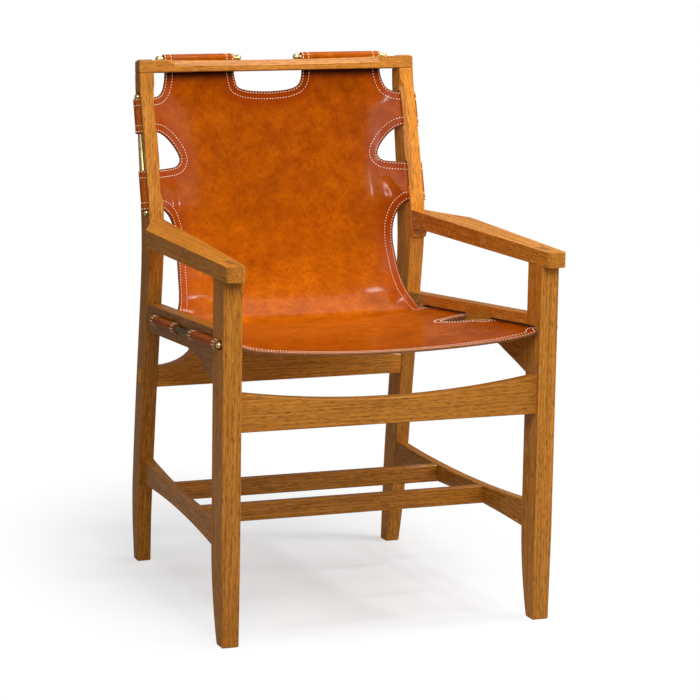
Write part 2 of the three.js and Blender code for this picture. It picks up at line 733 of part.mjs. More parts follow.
function rearRail() {
  const inner = postInner(rearRailMiddle);
  const end = rearRailUnder + rearRailEndHeight;
  const cove = steps(rearRailSteps).map((share) => [
    inner - rearRailCove * Math.sin(share * (Math.PI / 2)),
    end + rearRailRise * (1 - Math.cos(share * (Math.PI / 2))),
  ]);
  const half = [[inner + overrun, rearRailUnder], [inner + overrun, end], ...cove];
  const opposite = half.map(([x, z]) => [-x, z]).reverse();
  const rear = rearRailFront + rearRailThickness;
  const reach = (y) => inner - (y - rearRailFront + rearRailSetback) * Math.tan(postTurn) - fitGap;
  const shoulders = prism('z', [
    [-reach(rearRailFront), rearRailFront], [reach(rearRailFront), rearRailFront],
    [reach(rear), rear], [-reach(rear), rear],
  ], rearRailUnder - overrun, end + rearRailRise + overrun);
  let rail = prism('y', [...half, ...opposite], rearRailFront, rear, ease).intersect(shoulders);
  rail = rail.add(tenonOf(rearRailTenon)).add(mirrored(tenonOf(rearRailTenon)));
  return moved(rail, leanMatrix);
}

function sideStretcher() {
  const edge = (side) => steps(sideStretcherSteps).map((share) => {
    const y = up(share, frontLegDepth - overrun, stretcherRearY + overrun);
    return [y, sideStretcherMiddle + side * (sideStretcherWaist / 2 + stretcherFlare(y))];
  });
  const inner = stretcherInner(frontLegDepth);
  const low = sideStretcherMiddle - sideStretcherWaist - sideStretcherFlare;
  const high = sideStretcherMiddle + sideStretcherWaist + sideStretcherFlare;
  const rearFace = steps(armCurveSteps).map((share) => {
    const z = up(share, low, high);
    return [postFront(z) - fitGap, z];
  });
  const shoulders = prism('x', [
    [frontLegDepth + fitGap, low], ...rearFace, [frontLegDepth + fitGap, high],
  ], 0, frontHalfWidth + overrun);
  let board = prism('x', [...edge(-1), ...edge(1).reverse()], inner, inner + sideStretcherThickness, ease)
    .intersect(shoulders);
  sideStretcherTenons.forEach((tenon) => {
    board = board.add(tenonOf(tenon));
  });
  board = moved(board, planShear(stretcherSlope, frontLegDepth));
  Object.values(crossStretcherFronts).forEach((front) => {
    board = board.subtract(mortiseOf(crossTenon(front)));
  });
  return board;
}

function crossStretcher(front) {
  const rear = front + crossStretcherThickness;
  const reach = (y) => stretcherInner(y) - fitGap;
  const wide = reach(front) + overrun;
  const corners = [
    [front, crossStretcherLow], [rear, crossStretcherLow],
    [rear, crossStretcherHigh], [front, crossStretcherHigh],
  ].map(([y, z]) => new THREE.Vector2(y, z));
  const ring = (x) => easedSection(corners, [ease, ease, ease, ease])
    .map((point) => new THREE.Vector3(x, point.x, point.y));
  const shoulders = prism('z', [
    [-reach(front), front], [reach(front), front], [reach(rear), rear], [-reach(rear), rear],
  ], crossStretcherLow - overrun, crossStretcherHigh + overrun);
  const board = loft([ring(-wide), ring(wide)]).intersect(shoulders);
  return board.add(tenonOf(crossTenon(front))).add(mirrored(tenonOf(crossTenon(front))));
}

// The top tabs lie each side of the notch, which stands off centre
const topTabs = {
  left: { from: -topTabOuter - topTabSkew, to: topNotchOffset - topNotchHalf },
  right: { from: topNotchOffset + topNotchHalf, to: topTabOuter - topTabSkew },
};

function topRail() {
  const end = postOuter(topRailUnder);
  const chamferEnd = rearHalfWidth - topChamferInset;
  const hollowEnd = chamferEnd - chamferRunout;
  const corners = (x) => {
    const hollow = topRailHollow * (1 - Math.min(1, x / hollowEnd) ** 2);
    const [front, rear] = [postFront(chairHeight), postRear(chairHeight)];
    const [frontUnder, rearUnder] = [postFront(topRailUnder), postRear(topRailUnder)];
    return [
      [frontUnder, underFace(frontUnder)], [front, topFace(front) - hollow],
      [rear, topFace(rear) - hollow], [rearUnder, underFace(rearUnder)],
    ].map(([y, z]) => new THREE.Vector2(y, z));
  };
  const ring = (x, cut) => easedSection(corners(x), [ease, cut, ease, ease])
    .map((point) => new THREE.Vector3(x, point.x, point.y));
  const turnedIn = (points) => points.map((p) => p.setX(p.x - postShift(p.y, topRailUnder)));
  const endRing = ring(end, ease);
  const half = [
    turnedIn(drawnIn(endRing).map((point) => point.setX(end))),
    turnedIn(ring(end - ease, ease)),
    ...steps(2).map((share) => ring(chamferEnd - share * chamferRunout, up(smooth(share), ease, topChamfer))),
    ...steps(topRailSteps).slice(1).map((share) => ring(hollowEnd * (1 - share), topChamfer)),
  ];
  const opposite = half.slice(0, -1).reverse()
    .map((points) => points.map((p) => new THREE.Vector3(-p.x, p.y, p.z)));
  let rail = loft([...half, ...opposite]);
  Object.entries(topTabs).forEach(([side, { from, to }]) => {
    rail = rail.subtract(grooveOf(`top_rod_${side}`));
    rail = rail.subtract(block(
      from - slotMargin, to + slotMargin, topSlotY - slotWidth / 2, topSlotY + slotWidth / 2,
      topRailUnder - overrun, topRodZ,
    ));
  });
  const mortise = mortiseOf(topTenon);
  return rail.subtract(mortise).subtract(mirrored(mortise));
}

// Places of the sheet's middle surface, from the top rail's slot down the back and forward over the seat.
// Each station holds the side's and the middle's [depth, height] and how sharply the sag fades.
const backSagShares = [[0, 1], [0.3, 1], [0.5, 0.93], [0.7, 0.78], [0.85, 0.5], [0.93, 0.2], [1, 0]];
const seatSagShares = [[0, 1], [0.12, 0.86], [0.25, 0.75], [0.5, 0.6], [0.75, 0.53], [0.9, 0.5], [1, 0.52]];
const creaseSideShares = [[0.94, 0.83], [0.92, 0.69], [0.82, 0.54], [0.61, 0.37], [0.34, 0.21], [0.14, 0.09]];
const creaseMiddleShares = [[1.44, 0.83], [1.34, 0.665], [1.2, 0.5], [1, 0.3], [0.68, 0.1], [0.3, -0.03]];
// Rows of the sheet, as shares of the spans that the tabs' ends mark off
const twistRowShares = [0.62, 0.3, 0];
const backRowShares = [0.67, 0.33, 0];
const rearRowShares = [1, 0.84, 0.66, 0.47, 0.24, 0];
const notchRowShares = [0.66, 0.33];
const frontRowShares = [1, 0.8, 0.6, 0.4, 0.22];

function slingStations() {
  const topEnd = topRodZ - loopRadius - fitGap;
  const twist = topRailUnder - slotMargin - upperTab.high;
  const backLevels = [
    topEnd, topRailUnder - slotMargin, ...twistRowShares.map((share) => upperTab.high + share * twist),
    ...backRowShares.map((share) => up(share, upperTab.low, upperTab.high)),
    ...backRowShares.map((share) => up(share, lowerTab.high, upperTab.low)),
    ...backRowShares.map((share) => up(share, lowerTab.low, lowerTab.high)),
  ];
  const sagShare = through(backSagShares);
  const back = backLevels.map((z) => {
    const lift = smooth(clamp((z - upperTab.high) / twist));
    const sag = backSag * sagShare(clamp((z - lowerTab.low) / (topRailUnder - lowerTab.low)));
    const slot = postSlotY(Math.min(z, topRailUnder));
    return {
      side: [up(lift, slot, topSlotY), z],
      middle: [up(lift, slot + sag, topSlotY), z],
      power: backFadeShare,
      rim: 0,
    };
  });
  const low = [rearTab.rear, leatherZ(rearTab.rear)];
  const high = [postSlotY(lowerTab.low), lowerTab.low];
  const inCrease = ([along, rise]) => [up(along, low[0], high[0]), up(rise, low[1], high[1])];
  const crease = creaseSideShares.map((shares, i) => ({
    side: inCrease(shares), middle: inCrease(creaseMiddleShares[i]), rim: 0,
    power: up((i + 1) / (creaseSideShares.length + 1), backFadeShare, seatFadeShare),
  }));
  const seatDepths = [
    ...rearRowShares.map((share) => up(share, rearTab.front, rearTab.rear)),
    ...notchRowShares.map((share) => up(share, frontTab.rear, rearTab.front)),
    ...frontRowShares.map((share) => up(share, seatEdgeSetback, frontTab.rear)),
    frontTab.front, seatEdgeSetback,
  ];
  const seatShare = through(seatSagShares);
  const seat = seatDepths.map((y) => {
    const sag = seatSag * seatShare((y - seatEdgeSetback) / (rearTab.rear - seatEdgeSetback));
    const near = 1 - smooth(clamp((y - seatEdgeSetback) / rimReach));
    const droop = cornerDroop * clamp((frontTab.front - y) / (frontTab.front - seatEdgeSetback));
    return {
      side: [y, leatherZ(y) - droop],
      middle: [y, leatherZ(y) - sag],
      power: up(near, seatFadeShare, edgeFadeShare),
      rim: near * rimPartShare,
    };
  });
  return [...back, ...crease, ...seat];
}

// Half the clear width, the tab's end and its step back there at one station: between the posts,
// where the tab ends just short of the loop, then between the rails
function reachAt([y, z]) {
  if (z > lowerTab.low - fitGap) {
    const level = Math.min(z, topRailUnder);
    const clear = postInner(level) - postShift(postSlotY(level), level);
    const tabLevel = Math.min(z, upperTab.high);
    const behind = postRodY(tabLevel) - postSlotY(tabLevel) - postTabTuck - leather / 2;
    const end = postRodX(tabLevel) - Math.sqrt((loopRadius + fitGap) ** 2 - behind ** 2);
    return { clear, end, tuck: postTabTuck };
  }
  const depth = Math.min(y, rearTab.rear);
  return { clear: clearX(depth), end: seatRodX(depth) - loopRadius - fitGap, tuck: 0 };
}

function sheetBody() {
  const rows = slingStations().map(({ side, middle, power, rim }) => {
    const { clear, end, tuck } = reachAt(side);
    const half = columnShares.map((share) => {
      const fade = up(rim, share ** power, share ** rimFadeShare);
      return new THREE.Vector3(share * clear, up(fade, middle[0], side[0]), up(fade, middle[1], side[1]));
    });
    half.push(new THREE.Vector3(end, side[0] + tuck, side[1]));
    const opposite = half.slice(1).map((p) => new THREE.Vector3(-p.x, p.y, p.z)).reverse();
    return [...opposite, ...half];
  });
  const width = rows[0].length;
  const normal = (i, j) => {
    const [above, below] = [rows[Math.max(i - 1, 0)][j], rows[Math.min(i + 1, rows.length - 1)][j]];
    const [left, right] = [rows[i][Math.max(j - 1, 0)], rows[i][Math.min(j + 1, width - 1)]];
    const along = new THREE.Vector3().subVectors(below, above);
    return along.cross(new THREE.Vector3().subVectors(right, left)).normalize();
  };
  const face = (side) => rows.flatMap((row, i) => row.map((point, j) => (
    point.clone().addScaledVector(normal(i, j), (side * leather) / 2)
  )));
  const points = [...face(1), ...face(-1)];
  const other = rows.length * width;
  const triangles = [];
  const quad = (a, b, c, d) => triangles.push([a, b, c], [a, c, d]);
  for (let i = 0; i + 1 < rows.length; i += 1) {
    for (let j = 0; j + 1 < width; j += 1) {
      const [a, b, c, d] = [i * width + j, i * width + j + 1, (i + 1) * width + j + 1, (i + 1) * width + j];
      quad(a, b, c, d);
      quad(other + a, other + d, other + c, other + b);
    }
    for (const j of [0, width - 1]) {
      const [a, b] = j === 0 ? [i * width, (i + 1) * width] : [(i + 1) * width + j, i * width + j];
      quad(a, b, other + b, other + a);
    }
  }
  const last = (rows.length - 1) * width;
  for (let j = 0; j + 1 < width; j += 1) {
    quad(j + 1, j, other + j, other + j + 1);
    quad(last + j, last + j + 1, other + last + j + 1, other + last + j);
  }
  return closedBody(points, triangles);
}

// Outlines that are cut from the sheet, as [share of the depth inward, share of the height upward]
const moonShares = [
  [0, 1], [0.2, 0.95], [0.44, 0.83], [0.68, 0.65], [0.87, 0.46], [0.98, 0.3], [1, 0.17], [0.9, 0.07],
  [0.74, 0.02], [0.35, 0], [0, 0],
];
const cornerShares = [[1, 1.6], [1, 0.86], [0.93, 0.54], [0.72, 0.2], [0.4, 0.04], [0, 0]];
const waistShares = [
  [0, 1], [0.22, 0.975], [0.56, 0.915], [0.9, 0.78], [1, 0.626], [0.95, 0.5], [0.82, 0.302], [0.6, 0.16],
  [0.36, 0.075], [0.12, 0.02], [0, -0.06],
];
const topNotchShares = [[1, 1.6], [1, 0.9], [0.96, 0.5], [0.88, 0.24], [0.68, 0.1], [0.4, 0.03], [0, 0]];
const seatNotchShares = [
  [0, 1], [0.39, 0.97], [0.7, 0.905], [1, 0.8], [0.95, 0.67], [0.78, 0.53], [0.52, 0.41], [0.24, 0.29],
  [0.06, 0.16], [0, 0],
];

function sideCut(shares, inner, depth, low, high, from, to) {
  const inside = shares.map(([inward, rise]) => [inner - inward * depth, up(rise, low, high)]);
  const far = rearHalfWidth + overrun;
  const cut = prism('y', [[far, inside[0][1]], ...inside, [far, inside.at(-1)[1]]], from, to);
  return [cut, mirrored(cut)];
}

function sling() {
  const inner = rearHalfWidth - postWidth;
  const behind = chairDepth + overrun;
  const notch = topNotchShares.map(([out, rise]) => (
    [out * topNotchHalf, topRailUnder - (1 - rise) * topNotchDepth]
  ));
  const notchOutline = [...notch, ...notch.slice(0, -1).map(([x, z]) => [-x, z]).reverse()]
    .map(([x, z]) => [x + topNotchOffset, z]);
  const railFace = railInner(up(0.5, frontTab.rear, rearTab.front));
  const seatInside = seatNotchShares.map(([inward, along]) => [
    railFace - inward * seatNotchDepth, up(along, frontTab.rear, rearTab.front),
  ]);
  const seatFar = frontHalfWidth + overrun;
  const seatNotch = prism('z', [[seatFar, rearTab.front], ...seatInside, [seatFar, frontTab.rear]],
    railSlotZ(rearTab.rear) - seatSag - overrun, sideRailFrontTop + overrun);
  const frontCorner = block(
    frontLegInner - fitGap, seatFar, seatEdgeSetback - overrun, frontTab.front,
    railSlotZ(rearTab.rear) - overrun, sideRailFrontTop + overrun,
  );
  const cuts = [
    ...sideCut(cornerShares, inner, inner - topTabOuter, upperTab.high, topRailUnder, rearTab.rear, behind)
      .map((cut) => moved(cut, new THREE.Matrix4().makeTranslation(-topTabSkew, 0, 0))),
    ...sideCut(moonShares, inner, moonDepth, lowerTab.high, upperTab.low, rearTab.rear, behind),
    ...sideCut(waistShares, inner, waistDepth, railSlotZ(rearTab.rear), lowerTab.low, rearTab.rear, behind),
    prism('y', notchOutline, rearTab.rear, behind),
    seatNotch, mirrored(seatNotch), frontCorner, mirrored(frontCorner),
  ];
  return cuts.reduce((sheet, cut) => sheet.subtract(cut), sheetBody());
}

// Loops, rods and knobs between two points on the rod's axis
function loopBetween(from, to) {
  const length = from.distanceTo(to);
  const bore = rodRadius + fitGap;
  return turned([[bore, 0], [loopRadius, 0], [loopRadius, length], [bore, length], [bore, 0]], from, to);
}

function ballProfile(centre, way) {
  const neck = Math.asin(rodRadius / ballRadius);
  return steps(ballSteps).map((share) => {
    const angle = up(share, Math.PI - neck, 0);
    return [share === 1 ? 0 : ballRadius * Math.sin(angle), centre + way * ballRadius * Math.cos(angle)];
  });
}

// The rod has a ball at its first end and a thinner stud at the other, which the knob screws on to
function rodBetween(from, to) {
  const length = from.distanceTo(to);
  const shoulder = length - 2 * ballRadius;
  const studEnd = shoulder + ballRadius;
  return turned([
    ...ballProfile(ballRadius, -1).reverse(),
    [rodRadius, shoulder], [knobNeck, shoulder], [knobNeck, studEnd], [0, studEnd],
  ], from, to);
}

function knobBetween(from, to) {
  const length = from.distanceTo(to);
  const bore = knobNeck + fitGap;
  const start = length - 2 * ballRadius + fitGap;
  const neck = Math.acos(rodRadius / ballRadius);
  const round = steps(ballSteps).map((share) => {
    const angle = up(share, -neck, Math.PI / 2);
    const radius = share === 1 ? 0 : ballRadius * Math.cos(angle);
    return [radius, length - ballRadius * (1 - Math.sin(angle))];
  });
  return turned([
    [0, start + ballRadius], [bore, start + ballRadius], [bore, start], [rodRadius, start], ...round,
  ], from, to);
}

// Each rod's axis as a function of one place along it, and the places of its loops
const at = (x, y, z) => new THREE.Vector3(x, y, z);
const runs = [
  ...['left', 'right'].map((side) => ({
    name: `top_rod_${side}`,
    axis: (x) => at(x, topSlotY, topRodZ),
    ends: side === 'left'
      ? [topTabs.left.from - loopLap - rodTop, topTabs.left.to + rodTop]
      : [topTabs.right.to + loopLap + rodTop - topRodShift, topTabs.right.from - rodTop - topRodShift],
    loops: { [`top_loop_${side}`]: [topTabs[side].from - topTabSkew, topTabs[side].to - topTabSkew] },
  })),
  ...[-1, 1].map((hand) => {
    const side = hand < 0 ? 'left' : 'right';
    return {
      name: `back_rod_${side}`,
      axis: (z) => at(hand * postRodX(z), postRodY(z), z),
      ends: [lowerTab.low - postLoopDrop - rodPost, upperTab.high - postLoopDrop + rodPost],
      loops: {
        [`back_lower_loop_${side}`]: [lowerTab.low - postLoopDrop, lowerTab.high - postLoopDrop],
        [`back_upper_loop_${side}`]: [upperTab.low - postLoopDrop, upperTab.high - postLoopDrop],
      },
    };
  }),
  ...[-1, 1].map((hand) => {
    const side = hand < 0 ? 'left' : 'right';
    return {
      name: `seat_rod_${side}`,
      axis: (y) => at(hand * seatRodX(y), y, seatRodZ(y)),
      ends: [rearTab.rear - rearLoopTuck + rodSeat, frontTab.front - rodSeat],
      loops: {
        [`seat_front_loop_${side}`]: [frontTab.front, frontTab.rear + loopLap],
        [`seat_rear_loop_${side}`]: [rearTab.front + rearLoopInset, rearTab.rear - rearLoopTuck],
      },
    };
  }),
];

// The groove that one rod and its loops lie in, a little longer than the rod
function grooveOf(name) {
  const { axis, ends } = runs.find((run) => run.name === name);
  const [from, to] = ends.map(axis);
  const way = new THREE.Vector3().subVectors(to, from).normalize().multiplyScalar(grooveEase);
  const radius = loopRadius + fitGap;
  const length = from.distanceTo(to) + 2 * grooveEase;
  return turned([[0, 0], [radius, 0], [radius, length], [0, length]], from.sub(way), to);
}

// Finishes
const oak = () => new THREE.MeshStandardMaterial({ color: 0xb37a3c, roughness: 0.55, metalness: 0 });
const tanLeather = () => new THREE.MeshStandardMaterial({ color: 0xb85a14, roughness: 0.38, metalness: 0 });
const brass = () => new THREE.MeshStandardMaterial({ color: 0xc2a257, roughness: 0.3, metalness: 1 });

const frame = new THREE.Group();

function addPiece(name, solid, material) {
  const geometry = geometryOf(solid);
  geometry.computeVertexNormals();
  const mesh = new THREE.Mesh(geometry, material);
  mesh.name = name;
  frame.add(mesh);
}

function addPair(name, solid, material) {
  addPiece(`${name}_right`, solid, material());
  addPiece(`${name}_left`, mirrored(solid), material());
}

addPair('front_leg', frontLeg(), oak);
addPair('rear_leg', rearLeg(), oak);
addPair('arm', arm(), oak);
addPair('side_rail', sideRail(), oak);
addPair('side_stretcher', sideStretcher(), oak);
addPiece('front_rail', frontRail(), oak());
addPiece('rear_rail', rearRail(), oak());
addPiece('top_rail', topRail(), oak());
Object.entries(crossStretcherFronts).forEach(([place, front]) => {
  addPiece(`cross_stretcher_${place}`, crossStretcher(front), oak());
});
addPiece('leather_sling', sling(), tanLeather());
runs.forEach(({ name, axis, ends, loops }) => {
  const [from, to] = ends.map(axis);
  addPiece(name, rodBetween(from, to), brass());
  addPiece(`${name}_knob`, knobBetween(from, to), brass());
  Object.entries(loops).forEach(([loop, places]) => {
    addPiece(loop, loopBetween(...places.map(axis)), tanLeather());
  });
});

// The origin stands midway between the arms' tips and the rear legs' rearmost point
frame.position.y = (armOverhang - chairDepth) / 2;
const chair = new THREE.Group();
chair.add(frame);

export default chair;
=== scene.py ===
"""Looks of a dining armchair: an oiled oak frame with one leather sling, looped round six brass rods.

Lengths are in millimetres until metres() turns them into Blender's metres. Depths are counted from the front
legs' front faces, as in the CAD source, and DEPTH_SHIFT moves them into the shared frame.
"""

import math

import bpy
import numpy as np
from mathutils import Matrix, Vector


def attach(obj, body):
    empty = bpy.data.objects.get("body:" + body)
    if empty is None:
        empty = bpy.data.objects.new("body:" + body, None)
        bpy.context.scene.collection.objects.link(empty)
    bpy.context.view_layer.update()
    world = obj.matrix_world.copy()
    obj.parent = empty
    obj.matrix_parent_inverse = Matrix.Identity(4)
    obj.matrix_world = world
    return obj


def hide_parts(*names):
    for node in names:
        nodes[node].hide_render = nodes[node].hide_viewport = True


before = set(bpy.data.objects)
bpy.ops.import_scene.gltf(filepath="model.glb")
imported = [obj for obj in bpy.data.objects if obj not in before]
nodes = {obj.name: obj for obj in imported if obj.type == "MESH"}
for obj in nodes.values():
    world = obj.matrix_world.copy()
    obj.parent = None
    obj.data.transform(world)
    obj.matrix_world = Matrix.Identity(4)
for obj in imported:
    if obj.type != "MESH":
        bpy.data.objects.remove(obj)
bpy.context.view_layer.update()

MM = 0.001
ROOT = "root"

# The frame's sizes that the leather follows
CHAIR_HEIGHT = 876.2
CHAIR_DEPTH = 587.3
ARM_OVERHANG = 22.7
DEPTH_SHIFT = (ARM_OVERHANG - CHAIR_DEPTH) / 2
FRONT_HALF_WIDTH = 284.2
REAR_HALF_WIDTH = 251.4
FRONT_LEG_WIDTH = 30.9
FRONT_LEG_DEPTH = 52.6
POST_WIDTH = 25.7
POST_TOP_INSET = 1.4
POST_SWEEP = 106.6
POST_TURN = 0.051
ARM_REAR_TOP = 613.0
TOP_RAIL_THICKNESS = 20.6
TOP_RAIL_UNDER = CHAIR_HEIGHT - TOP_RAIL_THICKNESS
RAIL_THICKNESS = 24.5
RAIL_FRONT_TOP = 501.3
RAIL_SLOPE = 0.0771
RAIL_SLOT_DROP = 21.6
SLOT_SETTLE = 1.8
SLOT_SETBACK = 9.5
TOP_SLOT_SETBACK = 20.5
FIT_GAP = 0.3
POST_FRONT_SHARES = [
    [0, 0.247], [0.0685, 0.324], [0.16, 0.432], [0.342, 0.63], [0.536, 0.87], [0.622, 0.965],
    [0.685, 1], [0.776, 0.828], [0.867, 0.618], [0.936, 0.442], [1, 0.359],
]

# The leather: its sheet, the rolls at its tabs' ends, and the rods in them
LEATHER = 3.2
ROD_RADIUS = 4.4
BALL_RADIUS = 5.4
ROLL_RADIUS = ROD_RADIUS + FIT_GAP + LEATHER
ROLL_LAP = 3.0
ROLL_DROP = 2.8
REAR_ROLL_INSET = 11.0
REAR_ROLL_TUCK = 4.0
TOP_ROD_SHIFT = 3.3
ROD_PAST_TOP = 13.0
ROD_PAST_POST = 8.5
ROD_PAST_SEAT = 10.0
POST_ROD_SETBACK = 17.4
POST_ROD_PROUD = 1.3
POST_TAB_TUCK = 1.6
TUCK_REACH = 20.0
POST_TAB_REACH = 5.6
SEAT_ROD_PROUD = 6.2
SEAT_ROD_LIFT = 1.0
UPPER_TAB = (755.96, 813.15)
LOWER_TAB = (629.06, 694.27)
SEAT_EDGE = 6.0
FRONT_TAB = (20.8, 176.46)
REAR_TAB = (267.52, 428.5)
TOP_TAB_OUTER = 197.5
TOP_TAB_SKEW = 2.5
TOP_NOTCH_HALF = 62.2
TOP_NOTCH_OFFSET = -12.8
TOP_NOTCH_DEPTH = 38.8
BACK_SAG = 35.0
SEAT_SAG = 23.0
MOON_DEPTH = 44.0
WAIST_DEPTH = 27.4
SEAT_NOTCH_DEPTH = 54.0
BACK_FADE = 4.0
SEAT_FADE = 2.4
EDGE_FADE = 2.0
RIM_FADE = 12.0
RIM_PART = 0.3
RIM_REACH = 84.0
CORNER_DROOP = 2.5
STITCH_ROWS = (3.2, 13.6)
ROLL_ROWS = (2.4, 12.5)
STITCH_PITCH = 5.0
STITCH_LENGTH = 3.2
THREAD_RADIUS = 0.78
ROLL_THREAD_RADIUS = 1.1
GRID = 3.5
FINE_SPACING = 2.0
SHEET_REACH = 292
EDGE_ROUND = 0.7
TINY = 1e-9


def metres(points):
    """Points in millimetres and front-leg depths, as metres in the shared frame."""
    return (np.asarray(points, float) + np.array([0.0, DEPTH_SHIFT, 0.0])) * MM


def smooth(share):
    share = np.clip(share, 0, 1)
    return share * share * (3 - 2 * share)


def mix(share, start, end):
    return start + share * (end - start)


def unit(vectors):
    return vectors / np.linalg.norm(vectors, axis=-1, keepdims=True)


def run_along(points):
    """The distance along a line of points, at each of them."""
    return np.concatenate([[0], np.cumsum(np.linalg.norm(np.diff(points, axis=0), axis=1))])


def through(stations):
    """A smooth curve through [place, value] stations, as a function of the place."""
    places, values = (np.array(column, float) for column in zip(*stations))
    last = len(places) - 1
    before = np.maximum(np.arange(last + 1) - 1, 0)
    after = np.minimum(np.arange(last + 1) + 1, last)
    slopes = (values[after] - values[before]) / (places[after] - places[before])

    def value(place):
        upper = np.clip(np.searchsorted(places, place), 1, last)
        span = places[upper] - places[upper - 1]
        t = np.clip((place - places[upper - 1]) / span, 0, 1)
        rise = values[upper] - values[upper - 1]
        leaving = slopes[upper - 1] * span - rise
        arriving = slopes[upper] * span - rise
        return values[upper - 1] + t * rise + t * (1 - t) * ((1 - t) * leaving - t * arriving)

    return value


post_front_share = through(POST_FRONT_SHARES)


def post_front(z):
    return CHAIR_DEPTH - POST_SWEEP * post_front_share(z / CHAIR_HEIGHT)


def post_outer(z):
    above_arm = np.clip((z - ARM_REAR_TOP) / (CHAIR_HEIGHT - ARM_REAR_TOP), 0, 1)
    return REAR_HALF_WIDTH - POST_TOP_INSET * above_arm


RAIL_REAR_Y = float(post_front(RAIL_FRONT_TOP - RAIL_SLOPE * CHAIR_DEPTH))
RAIL_REAR_X = REAR_HALF_WIDTH - POST_WIDTH
LEG_INNER_X = FRONT_HALF_WIDTH - FRONT_LEG_WIDTH


def rail_inner(y):
    return mix((y - FRONT_LEG_DEPTH) / (RAIL_REAR_Y - FRONT_LEG_DEPTH), LEG_INNER_X, RAIL_REAR_X)


def slot_y(z):
    return post_front(z) + SLOT_SETBACK


def rail_slot_z(y):
    return RAIL_FRONT_TOP - RAIL_SLOPE * (y - FRONT_LEG_DEPTH) - RAIL_SLOT_DROP


def leather_z(y):
    return rail_slot_z(y) - SLOT_SETTLE


TOP_SLOT_Y = float(post_front(TOP_RAIL_UNDER)) + TOP_SLOT_SETBACK
TOP_ROD_Z = CHAIR_HEIGHT - FIT_GAP


def beside_post(z):
    return post_outer(z) - POST_ROD_SETBACK * math.tan(POST_TURN) + POST_ROD_PROUD


def post_rod(z):
    """The axis of a back rod at a height, as X and depth."""
    share = (z - LOWER_TAB[0]) / (UPPER_TAB[1] - LOWER_TAB[0])
    return (mix(share, beside_post(LOWER_TAB[0]), beside_post(UPPER_TAB[1])),
            mix(share, post_front(LOWER_TAB[0]), post_front(UPPER_TAB[1])) + POST_ROD_SETBACK)


def seat_rod_x(y):
    return rail_inner(y) + RAIL_THICKNESS + SEAT_ROD_PROUD


def seat_rod_z(y):
    return rail_slot_z(y) + SEAT_ROD_LIFT


# The sheet's surface
BACK_SAG_SHARES = [[0, 1], [0.3, 1], [0.5, 0.93], [0.7, 0.78], [0.85, 0.5], [0.93, 0.2], [1, 0]]
SEAT_SAG_SHARES = [[0, 1], [0.12, 0.86], [0.25, 0.75], [0.5, 0.6], [0.75, 0.53], [0.9, 0.5], [1, 0.52]]
CREASE_SIDE = [[0.94, 0.83], [0.92, 0.69], [0.82, 0.54], [0.61, 0.37], [0.34, 0.21], [0.14, 0.09]]
CREASE_MIDDLE = [[1.44, 0.83], [1.34, 0.665], [1.2, 0.5], [1, 0.3], [0.68, 0.1], [0.3, -0.03]]
TWIST_DROP = 3
# Where the stations lie, as shares of each stretch
TWIST_ROWS = (0.62, 0.3, 0)
BACK_ROWS = (0.67, 0.33, 0)
REAR_TAB_ROWS = (1, 0.84, 0.66, 0.47, 0.24, 0)
SEAT_NOTCH_ROWS = (0.66, 0.33)
FRONT_TAB_ROWS = (1, 0.8, 0.6, 0.4, 0.22)


def back_stations():
    """Stations from the top rods down to the lower post tabs."""
    twist_top = TOP_RAIL_UNDER - TWIST_DROP
    twist = twist_top - UPPER_TAB[1]
    levels = [TOP_ROD_Z - ROLL_RADIUS - FIT_GAP, twist_top]
    levels += [UPPER_TAB[1] + share * twist for share in TWIST_ROWS]
    for low, high in (UPPER_TAB, (LOWER_TAB[1], UPPER_TAB[0]), LOWER_TAB):
        levels += [mix(share, low, high) for share in BACK_ROWS]
    sag_share = through(BACK_SAG_SHARES)
    rows = []
    for z in levels:
        level = min(z, TOP_RAIL_UNDER)
        lift = smooth((z - UPPER_TAB[1]) / twist)
        slot = slot_y(level)
        rise = np.clip((z - LOWER_TAB[0]) / (TOP_RAIL_UNDER - LOWER_TAB[0]), 0, 1)
        sag = BACK_SAG * sag_share(rise)
        clear = post_outer(level) - POST_WIDTH - SLOT_SETBACK * math.tan(POST_TURN)
        rows.append([mix(lift, slot, TOP_SLOT_Y), z, mix(lift, slot + sag, TOP_SLOT_Y), z,
                     BACK_FADE, clear, 0])
    return rows


def crease_stations():
    """Stations round the crease, from the lower post tabs to the seat's rear tabs."""
    low = np.array([REAR_TAB[1], leather_z(REAR_TAB[1])])
    high = np.array([slot_y(LOWER_TAB[0]), LOWER_TAB[0]])
    rows = []
    for i, shares in enumerate(zip(CREASE_SIDE, CREASE_MIDDLE), 1):
        fade = mix(i / (len(CREASE_SIDE) + 1), BACK_FADE, SEAT_FADE)
        rows.append([*mix(np.array(shares), low, high).ravel(), fade, rail_inner(REAR_TAB[1]), 0])
    return rows


def seat_stations():
    """Stations from the seat's rear tabs to its front edge."""
    depths = [mix(share, *REAR_TAB) for share in REAR_TAB_ROWS]
    depths += [mix(share, FRONT_TAB[1], REAR_TAB[0]) for share in SEAT_NOTCH_ROWS]
    depths += [mix(share, SEAT_EDGE, FRONT_TAB[1]) for share in FRONT_TAB_ROWS]
    depths += [FRONT_TAB[0], SEAT_EDGE]
    sag_share = through(SEAT_SAG_SHARES)
    rows = []
    for y in depths:
        sag = SEAT_SAG * sag_share((y - SEAT_EDGE) / (REAR_TAB[1] - SEAT_EDGE))
        near = 1 - smooth((y - SEAT_EDGE) / RIM_REACH)
        droop = CORNER_DROOP * np.clip((FRONT_TAB[0] - y) / (FRONT_TAB[0] - SEAT_EDGE), 0, 1)
        clear = LEG_INNER_X if y < FRONT_LEG_DEPTH else rail_inner(y)
        rows.append([y, leather_z(y) - droop, y, leather_z(y) - sag, mix(near, SEAT_FADE, EDGE_FADE), clear,
                     near * RIM_PART])
    return rows


# Each: side depth, side height, middle depth, middle height, fade, half clear width, rim
STATIONS = np.array(back_stations() + crease_stations() + seat_stations(), float)
